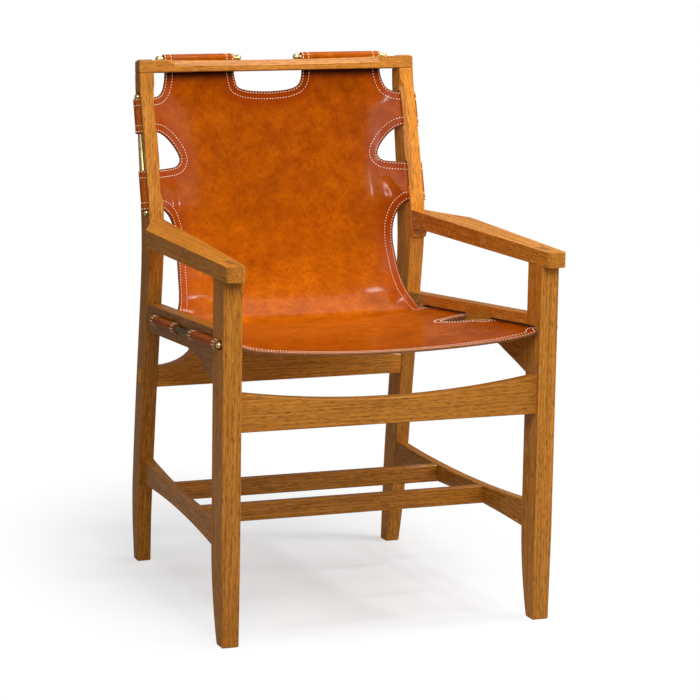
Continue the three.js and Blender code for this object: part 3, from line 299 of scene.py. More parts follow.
# Places down the sheet are millimetres along its side line
STATION_V = run_along(STATIONS[:, :2])
SHEET_LENGTH = STATION_V[-1]
CURVES = [through(zip(STATION_V, column)) for column in STATIONS.T]
# How many fine places there are, and over how many of them the side line falls
FINE_PLACES, FALLING = 2000, 1900
FINE_V = np.linspace(0, SHEET_LENGTH, FINE_PLACES)
FINE_Y, FINE_Z = CURVES[0](FINE_V), CURVES[1](FINE_V)
CREASE_START_V = np.interp(-LOWER_TAB[0], -FINE_Z, FINE_V)
CREASE_LENGTH = 120


def v_at_height(z):
    return np.interp(-z, -FINE_Z[:FALLING], FINE_V[:FALLING])


def v_at_depth(y):
    seat = FINE_V > CREASE_START_V + CREASE_LENGTH
    return np.interp(-y, -FINE_Y[seat], FINE_V[seat])


# Each: start and end as [x, v], width and rise
FOLDS = [
    ((183, 196), (189, 262), 14.0, 1.9), ((194, 200), (224, 246), 9.0, 1.8),
    ((-205, 212), (-205, 280), 13.0, 2.0), ((-125, 512), (131, 638), 5.0, 0.5),
    ((-228, 430), (-150, 408), 10.0, 1.2), ((222, 410), (180, 422), 9.0, 1.2)]
FOLD_FADE = 0.3
NORMAL_STEP = 0.8


def ridges(x, v):
    """Small folds that the pull of the tabs leaves in the leather, in millimetres out of the surface."""
    height = np.zeros_like(x)
    for start, end, width, rise in FOLDS:
        span = np.subtract(end, start)
        share = ((x - start[0]) * span[0] + (v - start[1]) * span[1]) / (span @ span)
        aside = np.hypot(x - mix(share, start[0], end[0]), v - mix(share, start[1], end[1]))
        fade = smooth(share / FOLD_FADE + 0.5) * smooth((1 - share) / FOLD_FADE + 0.5)
        height += rise * np.exp(-(aside / width) ** 2) * fade
    return height


def surface(x, v):
    """Points on the sheet's middle surface."""
    side_y, side_z, mid_y, mid_z, fade, clear, rim = (curve(v) for curve in CURVES)
    share = np.clip(np.abs(x) / clear, TINY, 1)
    weight = mix(rim, share ** fade, share ** RIM_FADE)
    past_post = smooth((np.abs(x) - clear) / TUCK_REACH)
    tuck = POST_TAB_TUCK * past_post * smooth((CREASE_START_V - v) / TUCK_REACH)
    return np.stack([x, mix(weight, mid_y, side_y) + tuck, mix(weight, mid_z, side_z)], axis=-1)


def surface_normals(x, v):
    """The sheet's outward normals, which point at the sitter."""
    step = NORMAL_STEP
    across = surface(x + step, v) - surface(x - step, v)
    along = surface(x, np.minimum(v + step, SHEET_LENGTH)) - surface(x, np.maximum(v - step, 0))
    return unit(np.cross(along, across))


def folded(x, v):
    """Points on the middle surface with its small folds, and the normals there."""
    normal = surface_normals(x, v)
    return surface(x, v) + normal * ridges(x, v)[:, None], normal


# The sheet's outline
MOON = [
    [0, 1], [0.2, 0.95], [0.44, 0.83], [0.68, 0.65], [0.87, 0.46], [0.98, 0.3], [1, 0.17], [0.9, 0.07],
    [0.74, 0.02], [0.35, 0], [0, 0],
]
CORNER = [[1, 1.6], [1, 0.86], [0.93, 0.54], [0.72, 0.2], [0.4, 0.04], [0, 0]]
WAIST = [
    [0, 1], [0.22, 0.975], [0.56, 0.915], [0.9, 0.78], [1, 0.626], [0.95, 0.5], [0.82, 0.302], [0.6, 0.16],
    [0.36, 0.075], [0.12, 0.02], [0, -0.06],
]
TOP_NOTCH = [[1, 1.6], [1, 0.9], [0.96, 0.5], [0.88, 0.24], [0.68, 0.1], [0.4, 0.03], [0, 0]]
SEAT_NOTCH = [
    [0, 1], [0.39, 0.97], [0.7, 0.905], [1, 0.8], [0.95, 0.67], [0.78, 0.53], [0.52, 0.41], [0.24, 0.29],
    [0.06, 0.16], [0, 0],
]
OUTLINE_SPACING = 2.0
SAME_PLACE = 1e-6
SKEW_REACH = 20
TAB_STEP = 1.0
FLAP_BEVEL = 1.5


def rounded(points):
    """A smooth line through points, with its ends kept, as points about one spacing apart."""
    points = np.asarray(points, float)
    length = run_along(points)
    keep = np.concatenate([[True], np.diff(length) > SAME_PLACE])
    points, length = points[keep], length[keep]
    places = np.linspace(0, length[-1], max(int(length[-1] / OUTLINE_SPACING), 2) + 1)
    return np.stack([through(zip(length, column))(places) for column in points.T], axis=1)


def tab_end(v):
    """How far out a tab reaches at a place down the sheet, into the roll round its rod."""
    if v < CREASE_START_V:
        return post_rod(CURVES[1](v))[0] - POST_TAB_REACH
    return seat_rod_x(CURVES[0](v)) - ROLL_RADIUS + FIT_GAP


def cut(shares, depth, low, high):
    """A cut-out between two heights, as [x, v] places, from [inward, rise] shares."""
    return [[RAIL_REAR_X - inward * depth, v_at_height(mix(rise, low, high))] for inward, rise in shares]


def half_outline(hand):
    """One side of the outline from the top notch's bottom round to the front edge's middle."""
    rear_v, front_v = v_at_depth(REAR_TAB[1]), v_at_depth(FRONT_TAB[0])
    notch = [[hand * TOP_NOTCH_OFFSET + out * TOP_NOTCH_HALF,
              v_at_height(min(TOP_RAIL_UNDER - (1 - rise) * TOP_NOTCH_DEPTH, STATIONS[0, 1]))]
             for out, rise in reversed(TOP_NOTCH)]
    notch[-1][1] = 0.0
    corner = cut(CORNER, RAIL_REAR_X - TOP_TAB_OUTER, UPPER_TAB[1], TOP_RAIL_UNDER)
    for place in corner:
        place[0] -= hand * TOP_TAB_SKEW * min(1, (RAIL_REAR_X - place[0]) / SKEW_REACH)
    corner[0][1] = 0.0
    moon = cut(MOON, MOON_DEPTH, LOWER_TAB[1], UPPER_TAB[0])
    waist = cut(WAIST, WAIST_DEPTH, rail_slot_z(REAR_TAB[1]), LOWER_TAB[0])
    waist = [place for place in waist if place[1] < rear_v - TAB_STEP] + [[RAIL_REAR_X - TAB_STEP, rear_v]]
    rail_face = rail_inner((FRONT_TAB[1] + REAR_TAB[0]) / 2)
    seat = [[rail_face - inward * SEAT_NOTCH_DEPTH, v_at_depth(mix(along, FRONT_TAB[1], REAR_TAB[0]))]
            for inward, along in SEAT_NOTCH]
    parts = [rounded(notch)]
    for cutout in (corner, moon, waist, seat):
        line = rounded(cutout)
        above, below = ([[tab_end(v), v]] for v in (line[0, 1], line[-1, 1]))
        parts += [line, below] if cutout is corner else [above, line, below]
    flap = LEG_INNER_X - FIT_GAP
    parts.append([[tab_end(front_v), front_v], [flap, front_v], [flap, SHEET_LENGTH - FLAP_BEVEL],
                  [flap - FLAP_BEVEL, SHEET_LENGTH]])
    return np.concatenate(parts) * (hand, 1)


def signed_area(line):
    after = np.roll(line, -1, axis=0)
    return 0.5 * np.sum(line[:, 0] * after[:, 1] - after[:, 0] * line[:, 1])


OUTLINE = np.concatenate([half_outline(1), half_outline(-1)[:0:-1]])
BLOCK_SIZE = 4000


def signed_distance(points):
    """Distance inside the outline, the nearest point on it, and the way inward from there."""
    edge = np.roll(OUTLINE, -1, axis=0) - OUTLINE
    keep = np.linalg.norm(edge, axis=1) > TINY
    start, edge = OUTLINE[keep], edge[keep]
    size = (edge ** 2).sum(axis=1)
    y0, y1 = start[:, 1], (start + edge)[:, 1]
    inward = np.stack([-edge[:, 1], edge[:, 0]], axis=1) * np.sign(signed_area(OUTLINE))
    inward = inward / np.sqrt(size)[:, None]
    found = []
    for block in np.array_split(points, max(len(points) // BLOCK_SIZE, 1)):
        offset = block[:, None, :] - start[None]
        t = np.clip((offset * edge).sum(axis=2) / size, 0, 1)
        gap = offset - t[..., None] * edge
        square = (gap ** 2).sum(axis=2)
        best = square.argmin(axis=1)
        rows = np.arange(len(block))
        crosses = (y0 <= block[:, 1:2]) != (y1 <= block[:, 1:2])
        with np.errstate(all="ignore"):
            at = start[:, 0] + (block[:, 1:2] - y0) / edge[:, 1] * edge[:, 0]
        inside = (crosses & (at > block[:, 0:1])).sum(axis=1) % 2 == 1
        distance = np.sqrt(square[rows, best]) * np.where(inside, 1, -1)
        found.append((distance, block - gap[rows, best], inward[best]))
    return [np.concatenate(part) for part in zip(*found)]


def grid_of(columns, rows):
    return np.stack(np.meshgrid(columns, rows, indexing="xy"), axis=-1)


FINE_GRID = grid_of(np.arange(-SHEET_REACH, SHEET_REACH + FINE_SPACING, FINE_SPACING),
                    np.arange(0, SHEET_LENGTH + FINE_SPACING, FINE_SPACING))
FINE_DISTANCE = signed_distance(FINE_GRID.reshape(-1, 2))[0].reshape(FINE_GRID.shape[:2])


# Meshes
def linked(name, data):
    """A new object in the scene."""
    item = bpy.data.objects.new(name, data)
    bpy.context.scene.collection.objects.link(item)
    return item


def new_piece(name, points, faces, materials, kinds=None):
    """A smooth mesh object from points in millimetres, with each face's place in its materials."""
    mesh = bpy.data.meshes.new(name)
    mesh.from_pydata(metres(points).tolist(), [], faces)
    for material in materials:
        mesh.materials.append(material)
    mesh.polygons.foreach_set("material_index", kinds or [0] * len(faces))
    mesh.polygons.foreach_set("use_smooth", [True] * len(faces))
    mesh.update()
    return linked(name, mesh)


def band(lower, upper, sides):
    """Faces between two rings of points that start at these places in a list."""
    return [[lower + k, lower + (k + 1) % sides, upper + (k + 1) % sides, upper + k] for k in range(sides)]


def spokes(first, second, sides):
    """Directions evenly round an axis."""
    turns = [2 * math.pi * k / sides for k in range(sides)]
    return [math.cos(turn) * first + math.sin(turn) * second for turn in turns]


SNAP_SHARE = 0.32
CORNER_COSINE = 0.75


def sheet_cells():
    """Grid cells of the sheet trimmed to its outline: places [x, v], distances inside it, and faces."""
    columns = np.arange(-SHEET_REACH, SHEET_REACH + GRID, GRID)
    rows = np.linspace(0, SHEET_LENGTH, int(SHEET_LENGTH / GRID) + 1)
    grid = grid_of(columns, rows).reshape(-1, 2)
    distance, nearest, _ = signed_distance(grid)
    snap = np.abs(distance) < SNAP_SHARE * GRID
    places = np.where(snap[:, None], nearest, grid)
    distance = np.where(snap, 0.0, distance)
    for before, corner, after in zip(np.roll(OUTLINE, 1, axis=0), OUTLINE, np.roll(OUTLINE, -1, axis=0)):
        a, b = corner - before, after - corner
        if a @ b < CORNER_COSINE * np.linalg.norm(a) * np.linalg.norm(b):
            near = np.linalg.norm(grid - corner, axis=1).argmin()
            places[near], distance[near] = corner, 0.0
    places, distance = places.tolist(), distance.tolist()
    width = len(columns)
    crossings = {}

    def crossing(a, b):
        key = (min(a, b), max(a, b))
        if key not in crossings:
            t = distance[a] / (distance[a] - distance[b])
            crossings[key] = len(places)
            places.append([mix(t, places[a][k], places[b][k]) for k in (0, 1)])
            distance.append(0.0)
        return crossings[key]

    faces = []
    for i in range(len(rows) - 1):
        for first in range(i * width, (i + 1) * width - 1):
            corners = [first, first + 1, first + width + 1, first + width]
            if max(distance[corner] for corner in corners) <= 0:
                continue
            face = []
            for corner, after in zip(corners, corners[1:] + corners[:1]):
                if distance[corner] >= 0:
                    face.append(corner)
                if distance[corner] * distance[after] < 0:
                    face.append(crossing(corner, after))
            if len(face) > 2:
                faces.append(face)
    used = sorted({corner for face in faces for corner in face})
    renumber = {old: new for new, old in enumerate(used)}
    faces = [[renumber[corner] for corner in face] for face in faces]
    return np.array([places[k] for k in used]), np.array([distance[k] for k in used]), faces


def leather_sheet(materials):
    """The sheet as one closed mesh: its faces, its underside, and a rounded cut edge between them."""
    places, distance, faces = sheet_cells()
    count = len(places)
    inward = signed_distance(places)[2]
    edges = dict.fromkeys((a, b) for face in faces for a, b in zip(face, face[1:] + face[:1]))
    border = [(a, b) for a, b in edges if (b, a) not in edges]
    on_border = np.isin(np.arange(count), [a for a, _ in border])
    drawn = places + inward * np.where(on_border, EDGE_ROUND, 0)[:, None]
    middle, normal = folded(drawn[:, 0], np.clip(drawn[:, 1], 0, SHEET_LENGTH))
    rim = np.where(on_border)[0]
    rim_middle = surface(places[rim, 0], places[rim, 1])
    half, rim_half = normal * LEATHER / 2, normal[rim] * (LEATHER / 2 - EDGE_ROUND)
    points = np.concatenate([middle + half, middle - half, rim_middle + rim_half, rim_middle - rim_half])
    quads = [side for face in faces for side in (face[::-1], [count + k for k in face])]
    kinds = [0, 1] * len(faces)
    upper = {int(k): 2 * count + i for i, k in enumerate(rim)}
    for pair in border:
        a, b = ([k, upper[k], upper[k] + len(rim), count + k] for k in pair)
        for k in range(3):
            quads.append([a[k], b[k], b[k + 1], a[k + 1]])
            kinds.append(2)
    piece = new_piece("leather_sheet", points, quads, materials, kinds)
    source = np.concatenate([np.arange(count), np.arange(count), rim, rim])
    attribute = piece.data.attributes.new("edge_distance", "FLOAT", "POINT")
    attribute.data.foreach_set("value", (distance[source] * MM).astype(np.float32))
    layer = piece.data.uv_layers.new(name="flat")
    loops = np.zeros(len(piece.data.loops), np.int32)
    piece.data.loops.foreach_get("vertex_index", loops)
    layer.data.foreach_set("uv", (places[source] * MM)[loops].astype(np.float32).ravel())
    return piece


# Stitching
SHORTEST_CHAIN = 8
THREAD_SIDES = 6
THREAD_GIRTH = np.array([0.35, 0.9, 1, 0.9, 0.35])
THREAD_LIFT = np.array([-0.8, 0.25, 0.55, 0.25, -0.8])


def contour_links(level):
    """Where a line at one distance inside the outline crosses the fine grid, and what each place links to."""
    value = FINE_DISTANCE - level
    links, spots = {}, {}

    def spot(a, b):
        if (a, b) not in spots:
            spots[a, b] = mix(value[a] / (value[a] - value[b]), FINE_GRID[a], FINE_GRID[b])
        return a, b

    inside = value > 0
    mixed = inside[:-1, :-1].astype(int) + inside[1:, :-1] + inside[:-1, 1:] + inside[1:, 1:]
    for i, j in zip(*np.where((mixed > 0) & (mixed < 4))):
        low, right, up, far = (i, j), (i, j + 1), (i + 1, j), (i + 1, j + 1)
        sides = [spot(a, b) for a, b in ((low, right), (right, far), (up, far), (low, up))
                 if inside[a] != inside[b]]
        for a, b in zip(sides[::2], sides[1::2]):
            links.setdefault(a, []).append(b)
            links.setdefault(b, []).append(a)
    return links, spots


def contours(level):
    """Lines at one distance inside the outline, as chains of [x, v] places."""
    links, spots = contour_links(level)
    chains = []
    while links:
        ends = [key for key, others in links.items() if len(others) == 1]
        start = ends[0] if ends else next(iter(links))
        chain, here = [start], start
        while here in links and links[here]:
            after = links[here].pop()
            links[after].remove(here)
            if not links[here]:
                del links[here]
            chain.append(after)
            here = after
        if here in links and not links[here]:
            del links[here]
        chains.append(np.array([spots[key] for key in chain]))
    return [chain for chain in chains if len(chain) > SHORTEST_CHAIN]


def thread_bodies(starts, ends, normals, thickness):
    """Short rounded stitches between points, as one list of points and faces."""
    sides, rings = THREAD_SIDES, len(THREAD_GIRTH)
    tangent = unit(ends - starts)
    across = unit(np.cross(normals, tangent))
    up = np.cross(tangent, across)
    points = []
    shares = np.linspace(0, 1, rings)
    for share, radius, height in zip(shares, thickness * THREAD_GIRTH, thickness * THREAD_LIFT):
        centre = mix(share, starts, ends) + up * height
        points += [centre + radius * spoke for spoke in spokes(across, up, sides)]
    points = np.stack(points, axis=1).reshape(-1, 3)
    block = rings * sides
    template = [[a, d, c, b] for low in range(0, block - sides, sides)
                for a, b, c, d in band(low, low + sides, sides)]
    template += [list(range(sides)), list(range(block - 1, block - sides - 1, -1))]
    faces = [[n * block + k for k in face] for n in range(len(starts)) for face in template]
    return points, faces


def stitched(name, lines, normals, material, thickness=THREAD_RADIUS):
    """A piece with stitches at an even pitch along lines of points in space."""
    starts, ends, ups = [], [], []
    for line, normal in zip(lines, normals):
        length = run_along(line)
        count = int(length[-1] / STITCH_PITCH)
        if count < 1:
            continue
        first = (np.arange(count) + 0.5) * (length[-1] / count) - STITCH_LENGTH / 2
        for found, values, ahead in ((starts, line, 0), (ends, line, STITCH_LENGTH),
                                     (ups, normal, STITCH_LENGTH / 2)):
            found.append(np.stack([np.interp(first + ahead, length, column) for column in values.T], axis=1))
    points, faces = thread_bodies(*(np.concatenate(found) for found in (starts, ends, ups)), thickness)
    return new_piece(name, points, faces, [material])


def sheet_stitching(material):
    """Both rows of stitches, on both faces of the sheet."""
    lines, normals = [], []
    for row in STITCH_ROWS:
        for chain in contours(row):
            middle, normal = folded(chain[:, 0], np.clip(chain[:, 1], 0, SHEET_LENGTH))
            for side in (1, -1):
                lines.append(middle + side * normal * LEATHER / 2)
                normals.append(side * normal)
    return stitched("edge_stitching", lines, normals, material)


# Rolls and rods
ROLL_SIDES = 40
ROLL_NECK = 2.9
NECK_REACH = 0.9
BORE_GAP = 0.12
ROLL_STEP = 1.6
ROLL_END_CLEAR = 1.5
ROLL_END_STEPS = np.array([0, 0.25, EDGE_ROUND])
PINCH_DEPTH, PINCH_WIDTH = 0.45, 1.3
SEAM_START, SEAM_PLACES, SEAM_SINK = 0.45, 48, 0.4
ROD_SIDES = 40
FIRST_SPOKE = np.array([0.3, 0.2, 1.0])
BALL_STEPS, BALL_POLE, BALL_NECK_SHARE = 14, 0.05, 0.98
BALL_NECK = math.asin(ROD_RADIUS / BALL_RADIUS * BALL_NECK_SHARE)
JOINT_GAP, JOINT_BEVEL, NECK_LENGTH = 0.1, 0.3, 0.5


def axes_of(start, end, towards):
    along = unit(end - start)
    first = unit(towards - along * (towards @ along))
    return along, first, np.cross(along, first)


def arc(radius, angles):
    return [(radius * math.cos(angle), radius * math.sin(angle)) for angle in angles]


def roll(name, start, end, towards, material):
    """Leather folded round a rod: a tube with a neck towards the slot, pinched where it is sewn."""
    along, first, second = axes_of(start, end, towards)
    length = np.linalg.norm(end - start)
    opening = math.asin(ROLL_NECK / ROLL_RADIUS)
    angles = np.linspace(opening, 2 * math.pi - opening, ROLL_SIDES)
    inner_angles = [*angles, 2 * math.pi - opening / 3, 2 * math.pi + opening / 3]
    reach = ROLL_RADIUS + NECK_REACH
    stations = np.unique(np.concatenate([
        ROLL_END_STEPS, np.arange(ROLL_STEP, length - ROLL_END_CLEAR, ROLL_STEP), length - ROLL_END_STEPS]))
    points = []
    for place in stations:
        from_end = min(place, length - place)
        short = EDGE_ROUND - min(from_end, EDGE_ROUND)
        bevel = EDGE_ROUND - math.sqrt(max(EDGE_ROUND ** 2 - short ** 2, 0))
        pinch = sum(PINCH_DEPTH * math.exp(-((from_end - row) / PINCH_WIDTH) ** 2) for row in ROLL_ROWS)
        radius, bore = ROLL_RADIUS - bevel - pinch, ROD_RADIUS + BORE_GAP + bevel
        neck = [(reach, bevel - ROLL_NECK), (reach, ROLL_NECK - bevel)]
        profile = arc(radius, angles) + neck + arc(bore, inner_angles)
        points += [start + along * place + a * first + b * second for a, b in profile]
    size = ROLL_SIDES + 2
    block = 2 * size
    last = (len(stations) - 1) * block
    bands = [(band(low, low + block, size), band(low + block + size, low + size, size))
             for low in range(0, last, block)]
    bands.append((band(size, 0, size), band(last, last + size, size)))
    faces = [face for outer, inner in bands for pair in zip(outer, inner) for face in pair]
    kinds = [0, 1] * (len(faces) // 2 - size) + [2, 2] * size
    return new_piece(name, points, faces, material, kinds), (start, along, first, second, length)


def roll_stitching(name, frame_of, material):
    """Rings of stitches round both ends of a roll."""
    start, along, first, second, length = frame_of
    angles = np.linspace(SEAM_START, 2 * math.pi - SEAM_START, SEAM_PLACES)[:, None]
    normal = np.cos(angles) * first + np.sin(angles) * second
    places = [place for row in ROLL_ROWS for place in (row, length - row)]
    lines = [start + along * place + (ROLL_RADIUS - SEAM_SINK) * normal for place in places]
    return stitched(name, lines, [normal] * len(lines), material, ROLL_THREAD_RADIUS)


def spun(name, start, end, profile, material):
    """A turned body on a line, from [distance, radius] stations."""
    along, first, second = axes_of(start, end, FIRST_SPOKE)
    points = [start + along * place + radius * spoke
              for place, radius in profile for spoke in spokes(first, second, ROD_SIDES)]
    last = (len(profile) - 1) * ROD_SIDES
    faces = [face for low in range(0, last, ROD_SIDES) for face in band(low, low + ROD_SIDES, ROD_SIDES)]
    faces += [list(range(ROD_SIDES))[::-1], list(range(last, last + ROD_SIDES))]
    return new_piece(name, points, faces, [material])


def ball_stations():
    """[distance, radius] stations of a turned ball, from its pole to its neck."""
    return [[BALL_RADIUS - BALL_RADIUS * math.cos(a), max(BALL_RADIUS * math.sin(a), BALL_POLE)]
            for a in np.linspace(0, math.pi - BALL_NECK, BALL_STEPS)]


def rod_pieces(name, start, end, material, bar_material):
    """A rod with one turned ball, and the knob screwed on its other end, with a fine joint between them."""
    length = np.linalg.norm(end - start)
    joint = length - 2 * BALL_RADIUS
    thin = ROD_RADIUS - JOINT_BEVEL
    ball = ball_stations()
    rod = spun(f"{name}_bar", start, end, ball + [
        [2 * BALL_RADIUS + NECK_LENGTH, ROD_RADIUS], [joint - JOINT_BEVEL, ROD_RADIUS], [joint, thin],
    ], bar_material)
    knob = spun(f"{name}_end", start, end, [
        [joint + JOINT_GAP, thin], [joint + (JOINT_GAP + JOINT_BEVEL), ROD_RADIUS],
    ] + [[length - place, radius] for place, radius in ball[-2::-1]], material)
    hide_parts(name)
    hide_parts(f"{name}_knob")
    return [rod, knob]


# Materials
class Shader:
    """A small helper that adds nodes to a material and links them."""

    def __init__(self, name):
        self.material = bpy.data.materials.new(name)
        self.material.use_nodes = True
        self.tree = self.material.node_tree
        self.surface = self.tree.nodes["Principled BSDF"]
        self.place = self.add("TexCoord").outputs["Object"]

    def fill(self, socket, value):
        """Links another node's output to a socket, or sets the socket's own value."""
        if isinstance(value, bpy.types.NodeSocket):
            self.tree.links.new(value, socket)
        else:
            socket.default_value = value

    def add(self, kind, inputs=None, **settings):
        node = self.tree.nodes.new(f"ShaderNode{kind}")
        for key, value in settings.items():
            setattr(node, key, value)
        for key, value in (inputs or {}).items():
            self.fill(node.inputs[key], value)
        return node

    def math(self, operation, *values):
        return self.add("Math", dict(enumerate(values)), operation=operation).outputs[0]

    def vector_math(self, operation, output, *values):
        node = self.add("VectorMath", dict(enumerate(values)), operation=operation)
        return node.outputs[output]

    def noise(self, scale, detail, roughness=0.55, vector=None):
        return self.add("TexNoise", {
            "Vector": vector or self.place, "Scale": scale, "Detail": detail, "Roughness": roughness,
        }).outputs["Fac"]

    def ramp(self, value, *stops):
        node = self.add("ValToRGB", {"Fac": value})
        elements = node.color_ramp.elements
        while len(elements) < len(stops):
            elements.new(0.5)
        for element, (place, colour) in zip(elements, stops):
            element.position = place
            element.color = (*colour, 1) if isinstance(colour, tuple) else (colour, colour, colour, 1)
        return node.outputs["Color"]

    def blend(self, share, a, b, kind="MIX"):
        node = self.add("Mix", data_type="RGBA", blend_type=kind)
        for socket, value in ((0, share), (6, a), (7, b)):
            self.fill(node.inputs[socket], (*value, 1) if isinstance(value, tuple) else value)
        return node.outputs[2]

    def tinted(self, colour, share, *tint):
        return self.blend(share, colour, tint, "MULTIPLY")

    def overlaid(self, colour, mask, strength, over):
        """A colour with another laid over it where a mask says so."""
        return self.blend(self.math("MULTIPLY", mask, strength), colour, over)

    def remap(self, value, start, end, low, high, kind="LINEAR"):
        """A value from start to end, as one from low to high."""
        return self.add("MapRange", {"Value": value, 1: start, 2: end, 3: low, 4: high},
                        interpolation_type=kind).outputs[0]

    def eased(self, value, start, end, low, high):
        return self.remap(value, start, end, low, high, "SMOOTHSTEP")

    def scaled(self, vector, scale, rotation=(0, 0, 0), location=(0, 0, 0)):
        return self.add("Mapping", {
            "Vector": vector, "Scale": scale, "Rotation": rotation, "Location": location}).outputs["Vector"]

    def bump(self, height, distance, strength, *normal):
        inputs = {"Height": height, "Distance": distance, "Strength": strength}
        return self.add("Bump", inputs | {"Normal": below for below in normal}).outputs["Normal"]

    def finish(self, **inputs):
        for key, value in inputs.items():
            self.fill(self.surface.inputs[key.replace("_", " ")], value)
        return self.material


# The rear legs lean back from each first height to its second
SWEEP_LEVELS = ((560, CHAIR_HEIGHT), (400, 0))


def swept(shader):
    """Coordinates that follow the sweep of the rear legs, so that the grain runs along them."""
    height = shader.add("SeparateXYZ", {"Vector": shader.place}).outputs["Z"]
    offset = 0.0
    for level, end in SWEEP_LEVELS:
        rise = float(post_front(end) - post_front(level)) * MM
        offset = shader.math("ADD", offset, shader.remap(height, level * MM, end * MM, 0.0, rise))
    shift = shader.add("CombineXYZ", {"Y": offset}).outputs["Vector"]
    return shader.vector_math("SUBTRACT", "Vector", shader.place, shift)


# Painted light and shade: a factor on each listed board's whole colour, lighter or darker to stand in for the
# light that falls on it.
BOARD_PAINTED_LIGHT = {
    "oak_rear_rail": 1.6, "oak_side_rail_left": 0.75, "oak_rear_leg_right": 1.28, "oak_side_rail_right": 1.25,
    "oak_front_leg_right": 1.1, "oak_top_rail": 0.94, "oak_arm_right": 1.08}
OAK_LIGHT = (0.3, (0.47, 0.168, 0.014)), (0.5, (0.565, 0.212, 0.024)), (0.72, (0.64, 0.258, 0.038))
EARLY_WOOD, STREAK = (0.31, 0.105, 0.010), (0.24, 0.078, 0.007)
PORE, FLECK, END_GRAIN = (0.18, 0.057, 0.008), (0.80, 0.41, 0.12), (0.17, 0.065, 0.012)
RING_WIDTH = 0.0042
PITH_REACH = (0.07, 0.13)
BOARD_SHIFT = 3


def oak(name, along, seed):
    """Oiled oak with its grain along a direction: rings, pores, ray flecks, a slow change of tone, and a
    factor of painted light and shade on some boards' whole colour.
    """
    shader = Shader(name)
    random = np.random.default_rng(seed)
    turn = tuple(Vector(along).rotation_difference(Vector((0, 0, 1))).to_euler())
    upright = shader.scaled(swept(shader) if "rear_leg" in name else shader.place, (1, 1, 1), turn)
    shift = tuple(random.uniform(-BOARD_SHIFT, BOARD_SHIFT, 3))
    board = shader.scaled(upright, (1, 1, 1), location=shift)
    pith = random.choice([-1, 1], 2) * random.uniform(*PITH_REACH, 2)
    centred = shader.scaled(upright, (1, 1, 0), location=(*pith, 0))
    slow = shader.noise(5.0, 3.0, vector=shader.scaled(board, (1, 1, 0.22)))
    wander = shader.math("MULTIPLY_ADD", slow, 0.03, shader.vector_math("LENGTH", "Value", centred))
    rings = shader.math("FRACT", shader.math("MULTIPLY", wander, 1 / RING_WIDTH))
    early = shader.ramp(rings, (0.0, 0.15), (0.12, 1.0), (0.42, 0.55), (0.85, 0.0), (1.0, 0.15))
    pores = shader.noise(760.0, 2.0, vector=shader.scaled(board, (1, 1, 0.1)))
    pores = shader.ramp(pores, (0.5, 0.0), (0.62, 1.0))
    streaks = shader.noise(300.0, 3.0, 0.6, shader.scaled(board, (1, 1, 0.022)))
    streaks = shader.ramp(streaks, (0.42, 0.0), (0.66, 1.0))
    flecks = shader.noise(420.0, 1.0, vector=shader.scaled(board, (1, 0.25, 0.12)))
    flecks = shader.ramp(flecks, (0.62, 0.0), (0.74, 1.0))
    colour = shader.overlaid(shader.ramp(slow, *OAK_LIGHT), early, 0.3, EARLY_WOOD)
    colour = shader.overlaid(colour, streaks, 0.55, STREAK)
    colour = shader.overlaid(colour, pores, shader.math("MULTIPLY_ADD", early, 0.45, 0.4), PORE)
    colour = shader.overlaid(colour, flecks, 0.28, FLECK)
    if "leg" in name:
        normal = shader.add("TexCoord").outputs["Normal"]
        facing_up = shader.vector_math("DOT_PRODUCT", "Value", normal, (0, 0, 1))
        colour = shader.blend(shader.remap(facing_up, 0.9, 0.97, 0.0, 0.75), colour, END_GRAIN)
    # Painted light and shade: the board's factor scales its whole colour.
    shade = BOARD_PAINTED_LIGHT.get(name, 1.0)
    height = shader.math("ADD", shader.math("MULTIPLY", pores, -0.7), shader.math("MULTIPLY", streaks, -0.3))
    return shader.finish(
        Base_Color=shader.tinted(colour, 1.0, shade, shade, shade), Specular_IOR_Level=0.06,
        Roughness=shader.math("MULTIPLY_ADD", streaks, 0.14, 0.42), Normal=shader.bump(height, 0.00018, 0.8),
        Coat_Weight=0.28, Coat_Roughness=0.18)


DYE = ((0.28, (0.27, 0.043, 0.0003)), (0.46, (0.42, 0.080, 0.0004)), (0.6, (0.53, 0.115, 0.0006)),
       (0.78, (0.64, 0.165, 0.001)))
PALE_DYE, PATCH_DYE, SPECKLE_DYE = (0.57, 0.135, 0.0006), (0.27, 0.048, 0.0003), (0.25, 0.042, 0.0003)
# The last colour on the next line is a painted shadow under the top rail.
NEAR_EDGE, AT_EDGE, RAIL_PAINTED_SHADOW = (0.36, 0.042, 0.001), (0.10, 0.018, 0.003), (0.035, 0.004, 0.0006)
# On the next line: painted shade for the upper back, painted shade for the seat towards its front edge, and
# painted shade for the rolls.
BACK_PAINTED_SHADE, SEAT_PAINTED_SHADE, ROLL_PAINTED_SHADE = (0.73, 0.67, 0.6), (0.72, 0.64, 0.5), (0.12, 0.018, 0.0008)
GROOVE_HALF_WIDTH = 0.0014


